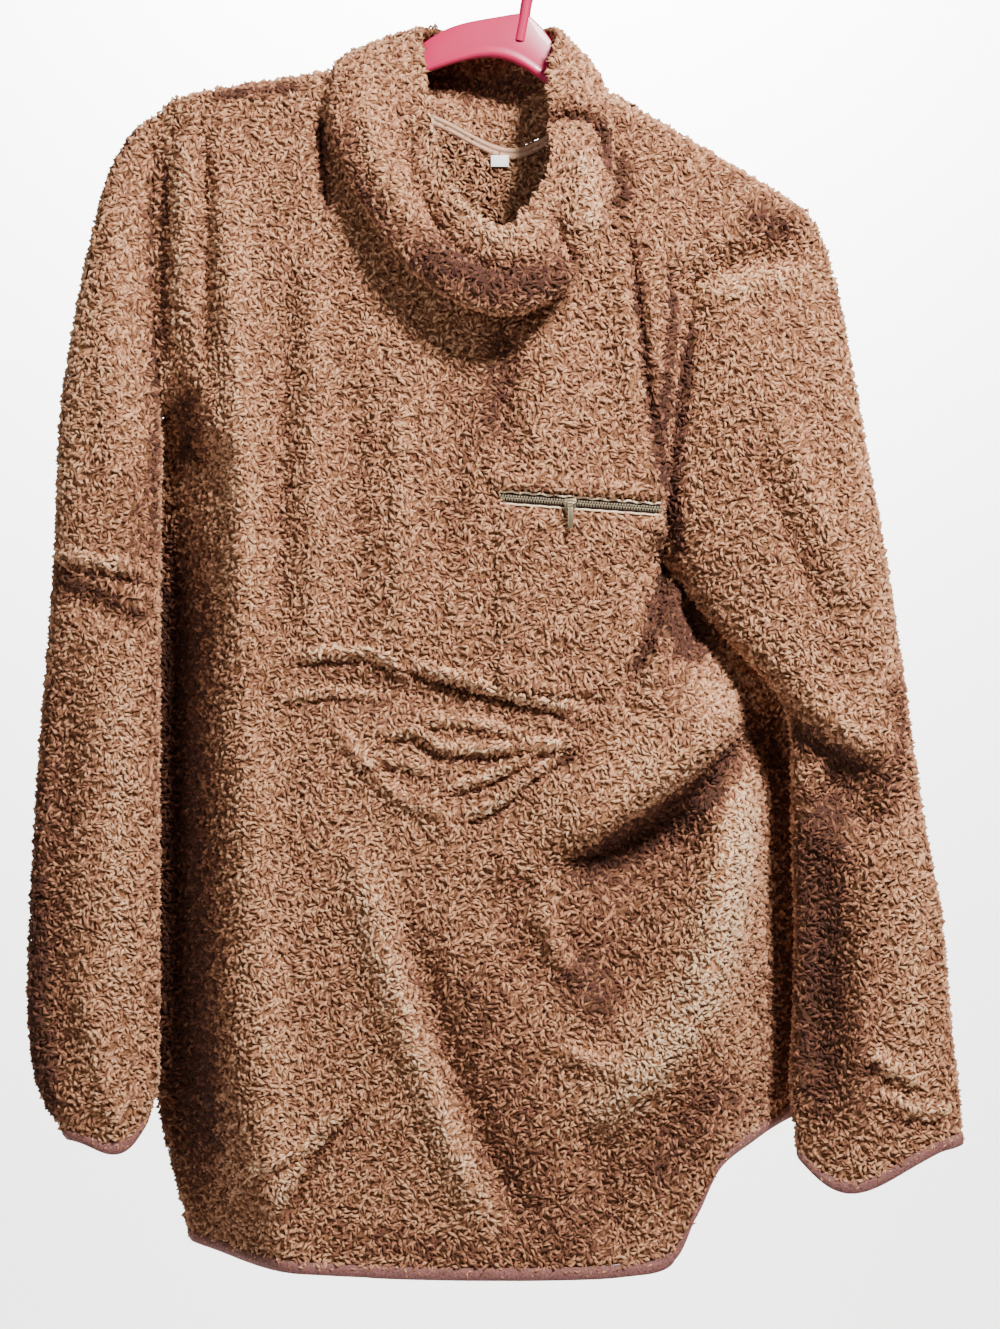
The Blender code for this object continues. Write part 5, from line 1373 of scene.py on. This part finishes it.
def tooth_nodes(tooth, material):
    """Geometry nodes that set a row of teeth along a line."""
    tree, given = geometry_tree("zip_teeth", (("Line", "Geometry"), ("Teeth", "Int")), "Row")
    curve_line = add(tree, "GeometryNodeMeshToCurve", {"Mesh": given["Line"]})
    points = add(tree, "GeometryNodeResampleCurve", {
        "Curve": curve_line.outputs[0], "Count": given["Teeth"],
    })
    source = add(tree, "GeometryNodeObjectInfo", {"Object": tooth})
    row = add(tree, "GeometryNodeInstanceOnPoints", {
        "Points": points.outputs[0], "Instance": source.outputs["Geometry"],
    })
    give_out(tree, row.outputs[0], material, "Row")
    return tree


def zip_teeth(tapes, metal):
    """Two rows of small metal teeth that meet along the middle of the zip."""
    middle = (tapes[:, 0] + tapes[:, -1]) / 2.0
    middle[:, 2] = tapes[..., 2].min(axis=1) - TOOTH_STAND
    corner = np.array(TOOTH) / 2 * MM
    tooth = bpy.data.objects.new("tooth", box_mesh("tooth", -corner, corner, 0.15))
    tree = tooth_nodes(tooth, metal)
    links = [(k, k + 1) for k in range(len(middle) - 1)]
    rows = []
    for side, shift in TOOTH_ROWS:
        line = new_mesh("zip_line", world(middle + np.array([shift, side, 0.0])), [], links)
        rows.append(grown(line, tree, {"Teeth": ZIP_TEETH}))
    bpy.data.objects.remove(tooth, do_unlink=True)
    place_mesh("zip_teeth", joined("zip_teeth", rows), metal)


def eye_ring(centre, inside, outside, half_width):
    """A short pipe along X, in metres."""
    turns = np.linspace(0.0, 2 * math.pi, 24, endpoint=False)
    section = ((inside, -half_width), (outside, -half_width), (outside, half_width), (inside, half_width))
    points = [
        (centre[0] + side, centre[1] + radius * math.cos(turn), centre[2] + radius * math.sin(turn))
        for turn in turns for radius, side in section
    ]
    return closed_mesh("eye", points, ring_faces(len(turns), len(section), True), sharp=40)


def zip_slider(metal):
    """The slider and the bridge on it, in the place of the plain solid."""
    low, high = np.array(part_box("zip_slider"))
    middle = (low + high) / 2
    base_front = high[1] - SLIDER_BASE * MM
    base = box_mesh("base", (low[0], base_front, low[2]), high, SLIDER_BEVEL)
    reach = (high[0] - low[0]) / 2 - BRIDGE_INSET * MM
    foot, crown = base_front + BRIDGE_SUNK * MM, low[1] + BRIDGE_FRONT * MM
    corners = ((-reach, foot), (-reach, crown), (reach, crown), (reach, foot))
    route = [(middle[0] + side, y, middle[2]) for side, y in corners]
    bridge = tube("bridge", smooth_path(route, np.linspace(0.0, 1.0, 16)), BRIDGE_ROD * MM, 8)
    place_mesh("zip_slider", joined("zip_slider", [base, bridge]), metal)


def zip_pull(metal):
    """The pull tab with its eye, in the place of the plain solid."""
    low, high = np.array(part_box("zip_pull"))
    middle = (low + high) / 2
    eye, half = PULL_EYE / 2 * MM, PULL_THICKNESS / 2 * MM
    top = high[2] - eye
    loop = eye_ring((middle[0], middle[1], top), PULL_HOLE / 2 * MM, eye, PULL_WIDTH / 2 * MM)
    tongue_high = (high[0], middle[1] + half, top - TONGUE_TOP * MM)
    tongue = box_mesh("tongue", (low[0], middle[1] - half, low[2]), tongue_high, TONGUE_BEVEL)
    place_mesh("zip_pull", joined("zip_pull", [loop, tongue]), metal, "pull")


def hanger_web(plastic):
    """The moulded web with its tapering arms and a bead along the lower edge."""
    points = []
    for side in np.linspace(-ARM_SPAN, ARM_SPAN, HANGER_STATIONS):
        end = math.sqrt(max(1.0 - (abs(side) / (ARM_SPAN + ARM_TIP)) ** ARM_TIP_POWER, 0.0))
        top, bottom = web_top(side), web_bottom(side)
        middle = (top + bottom) / 2
        top, bottom = middle + (top - middle) * end, middle + (bottom - middle) * end
        taper = 1.0 - ARM_TAPER * abs(side) / ARM_SPAN
        half, bead = WEB_THICKNESS / 2 * taper, BEAD_RADIUS * taper
        section = [(top - down, share * half) for down, share in WEB_EDGE]
        section.append((bottom + BEAD_START * bead, half))
        section += [(bottom + bead * (1.0 - math.sin(a)), bead * math.cos(a)) for a in BEAD_TURNS]
        section.append((bottom, 0.0))
        section += [(up, -depth) for up, depth in section[-2:0:-1]]
        points += [hanger_point(side, up, y) for up, y in section]
    around = len(section)
    faces = ring_faces(HANGER_STATIONS, around, False)
    faces.append(tuple(range(around)))
    faces.append(tuple(reversed(range((HANGER_STATIONS - 1) * around, HANGER_STATIONS * around))))
    place_mesh("hanger", closed_mesh("hanger", world(points), faces, sharp=50), plastic)


def hanger_hook(plastic):
    """The plain round hook above the web."""
    centre_up = HOOK_HEIGHT - HOOK_RADIUS
    line_radius = HOOK_RADIUS + HOOK_WIRE
    route = list(HOOK_NECK)
    for step in range(HOOK_STEPS):
        angle = math.radians(HOOK_START + HOOK_STEP * step)
        route.append((line_radius * math.cos(angle), centre_up + line_radius * math.sin(angle)))
    line = world([hanger_point(side, up, 0.0) for side, up in route])
    line = smooth_path(line, np.linspace(0.0, 1.0, HOOK_STATIONS))
    place_mesh("hook", tube("hook", line, HOOK_WIRE * MM, HOOK_SIDES), plastic)


def neck_trims(back, cord, label):
    """The piped tape over the back neck seam and the blank label under it."""
    first, last = back.columns_at_neck
    span = last - first
    middle = range(first + round(TAPE_FROM * span), last - round(TAPE_TO * span) + 1)
    edge_inner = back.inner[middle, 0]
    down = unit(back.inner[middle, 5] - edge_inner)
    normals = back.normals[middle, 0]
    start = edge_inner - TAPE_OFF * normals + TAPE_DOWN * down
    steps = np.linspace(0.0, 1.0, 13)
    swell = PIPING_SWELL * np.abs(np.sin(2.0 * math.pi * steps))
    lines = [start + step * TAPE_WIDTH * down for step in steps]
    front = np.stack([line - (TAPE_FRONT + rise) * normals for line, rise in zip(lines, swell)], axis=1)
    rear = np.stack([line - TAPE_REAR * normals for line in lines], axis=1)
    shell("neck_tape", front, rear, False, cord, "knit_binding")
    low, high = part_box("neck_label")
    place_mesh("neck_label", box_mesh("neck_label", low, high, 0.2), label)


def bare_under_pocket(ground):
    """1 where the front has curls, 0 where the pocket and its zip cover it."""
    x, drop = ground[..., 0], ground[..., 1]
    right = np.interp(drop, *np.transpose(COVER_RIGHT)) - COVER_MARGIN
    covered = (x > POCKET_TOP[0][0] + COVER_MARGIN) & (x < right)
    covered &= (drop > COVER_DROPS[0]) & (drop < COVER_DROPS[1])
    return np.where(covered, 0.0, 1.0)


def frontal(normals):
    """How far a surface turns to the front, from 0 to 1, for the strokes of painted light and shade."""
    return np.clip(-normals[..., 2] * FACING_GAIN, 0.0, 1.0)


def body_panels(materials):
    """The front and the back, each with its curls and its hem binding."""
    front = panel(-1, FRONT_NECK, FRONT_HEM, (LEFT_ARMHOLE, RIGHT_ARMHOLE_FRONT), NECK_COLUMNS,
                  FRONT_FALL, FRONT_EASE, FRONT_FOLDS)
    back = panel(1, BACK_NECK, BACK_HEM, (LEFT_ARMHOLE, RIGHT_ARMHOLE_BACK), BACK_NECK_COLUMNS,
                 BACK_FALL, BACK_EASE, BACK_FOLDS)
    for name, piece, creased, strokes in (
        ("front", front, FRONT_FOLDS, FRONT_PAINTED_SHADING), ("back", back, (), ()),
    ):
        ground = piece.outer - PILE_DEPTH * piece.normals
        tone = painted_tone_of(ground, piece.raised, creased, strokes)
        shell(f"body_{name}", ground, piece.inner, False, materials["ground"], tone=tone)
        cover = bare_under_pocket(ground) if name == "front" else np.ones(ground.shape[:2])
        bed, cover, tone = overhung(ground, cover, tone)
        pile_on(f"pile_{name}", bed, False, cover, tone, materials)
        binding(f"hem_binding_{name}", piece.outer, piece.inner, False, materials["binding"])
    x, drop = back.inner[..., 0], back.inner[..., 1]
    near_neck = (drop < NECK_VIEW_DROP) & (x > NECK_VIEW_SIDES[0]) & (x < NECK_VIEW_SIDES[1])
    near_neck[:, 0] = False
    cover = near_neck.astype(float)
    pile_on("pile_inside_back", back.inner, False, cover, TONE_MIDDLE, materials, turned=True)
    return front, back


def sleeves(front, back, materials):
    """Both sleeves, each with its curls and its cuff binding."""
    for side, rings, column, out in (("right", RIGHT_SLEEVE, 0, -1), ("left", LEFT_SLEEVE, -1, 1)):
        name = f"sleeve_{side}"
        outer, inner, normals, raised = sleeve(name, rings, front, back, column, out)
        ground = outer - PILE_DEPTH * normals
        tone = painted_tone_of(ground, raised, SLEEVE_FOLDS[name], SLEEVE_PAINTED_SHADING[name], frontal(normals))
        shell(name, ground, inner, True, materials["ground"], tone=tone)
        bed, cover, tone = overhung(ground, np.ones(ground.shape[:2]), tone)
        pile_on(f"pile_{name}", bed, True, cover, tone, materials)
        binding(f"cuff_binding_{side}", outer, inner, True, materials["binding"])


def plush_collar(front, back, materials):
    """The collar with its curls on both sides."""
    outer, inner, normals, raised = collar(front, back)
    ground, inside = outer - PILE_DEPTH * normals, inner + PILE_DEPTH * normals
    tone = painted_tone_of(ground, raised, COLLAR_FOLDS, COLLAR_PAINTED_SHADING, frontal(normals))
    shell("collar", ground, inside, True, materials["ground"], tone=tone)
    pile_on("pile_collar", ground, True, 1.0, tone, materials, COLLAR_SHARE)
    shaded = painted_tone_of(inside, 0.0, (), NECK_PAINTED_SHADOW)
    pile_on("pile_inside_collar", inside, True, 1.0, shaded, materials, turned=True)


def pullover(materials):
    """The garment's pieces, each with its curls."""
    front, back = body_panels(materials)
    sleeves(front, back, materials)
    plush_collar(front, back, materials)
    tapes = pocket(panel_tree(front.outer - PILE_DEPTH * front.normals), materials)
    zip_teeth(tapes, materials["metal"])
    zip_slider(materials["metal"])
    zip_pull(materials["metal"])
    neck_trims(back, materials["cord"], materials["label"])


def studio():
    """A pale backdrop and floor, soft lights, and the camera at the photo's place."""
    paper = plain_material("paper_backdrop", "fbfaf9", 0.9)
    for name, low, high in STAGE:
        mesh = box_mesh(name, low, high, STAGE_BEVEL)
        mesh.materials.append(paper)
        made = new_object(name, mesh)
    for name, place, target, size, power in LIGHTS:
        data = bpy.data.lights.new(name, "AREA")
        data.shape = "DISK"
        data.size = size
        data.energy = power
        lamp = new_object(name, data)
        lamp.location = place
        aim = Vector(target) - Vector(place)
        lamp.rotation_euler = aim.to_track_quat("-Z", "Y").to_euler()
    sky = bpy.data.worlds.new("studio")
    sky.use_nodes = True
    background = sky.node_tree.nodes["Background"].inputs
    background["Color"].default_value = SKY_COLOUR
    background["Strength"].default_value = SKY_STRENGTH
    bpy.context.scene.world = sky
    data = bpy.data.cameras.new("camera")
    data.lens = CAMERA_LENS
    data.sensor_fit = "VERTICAL"
    data.sensor_height = 36.0
    camera = new_object("camera", data)
    camera.location = CAMERA_PLACE
    camera.rotation_euler = (math.radians(90.0), 0.0, 0.0)
    bpy.context.scene.camera = camera


MATERIALS = {
    "ground": plush_ground(),
    "curls": plush_curls(),
    "binding": knit_binding(),
    # dyed cotton cord: a matt tan line over the neck's seam
    "cord": plain_material("neck_cord", "b58c72", 0.85),
    # woven polyester tape: nearly black in the slot of the zip
    "tape": plain_material("zip_tape", "2a1612", 0.85),
    # folded polyester edge: thin pale lines above and below the slot
    "lip": plain_material("zip_lip", "dcc3a0", 0.85),
    # plated zinc: small golden glints along the teeth and on the pull
    "metal": plain_material("zip_metal", "b9a888", 0.35, metallic=1.0),
    # white woven label cloth: flat and blank
    "label": plain_material("label_cloth", "f1efe9", 0.8),
    # moulded polystyrene: a strong pink with a soft highlight
    "plastic": plain_material("pink_plastic", "b00a44", 0.4, coat=0.1),
}
MATERIALS["pile_nodes"] = pile_nodes(curl_collection(), MATERIALS["curls"])

pullover(MATERIALS)
hanger_web(MATERIALS["plastic"])
hanger_hook(MATERIALS["plastic"])
studio()
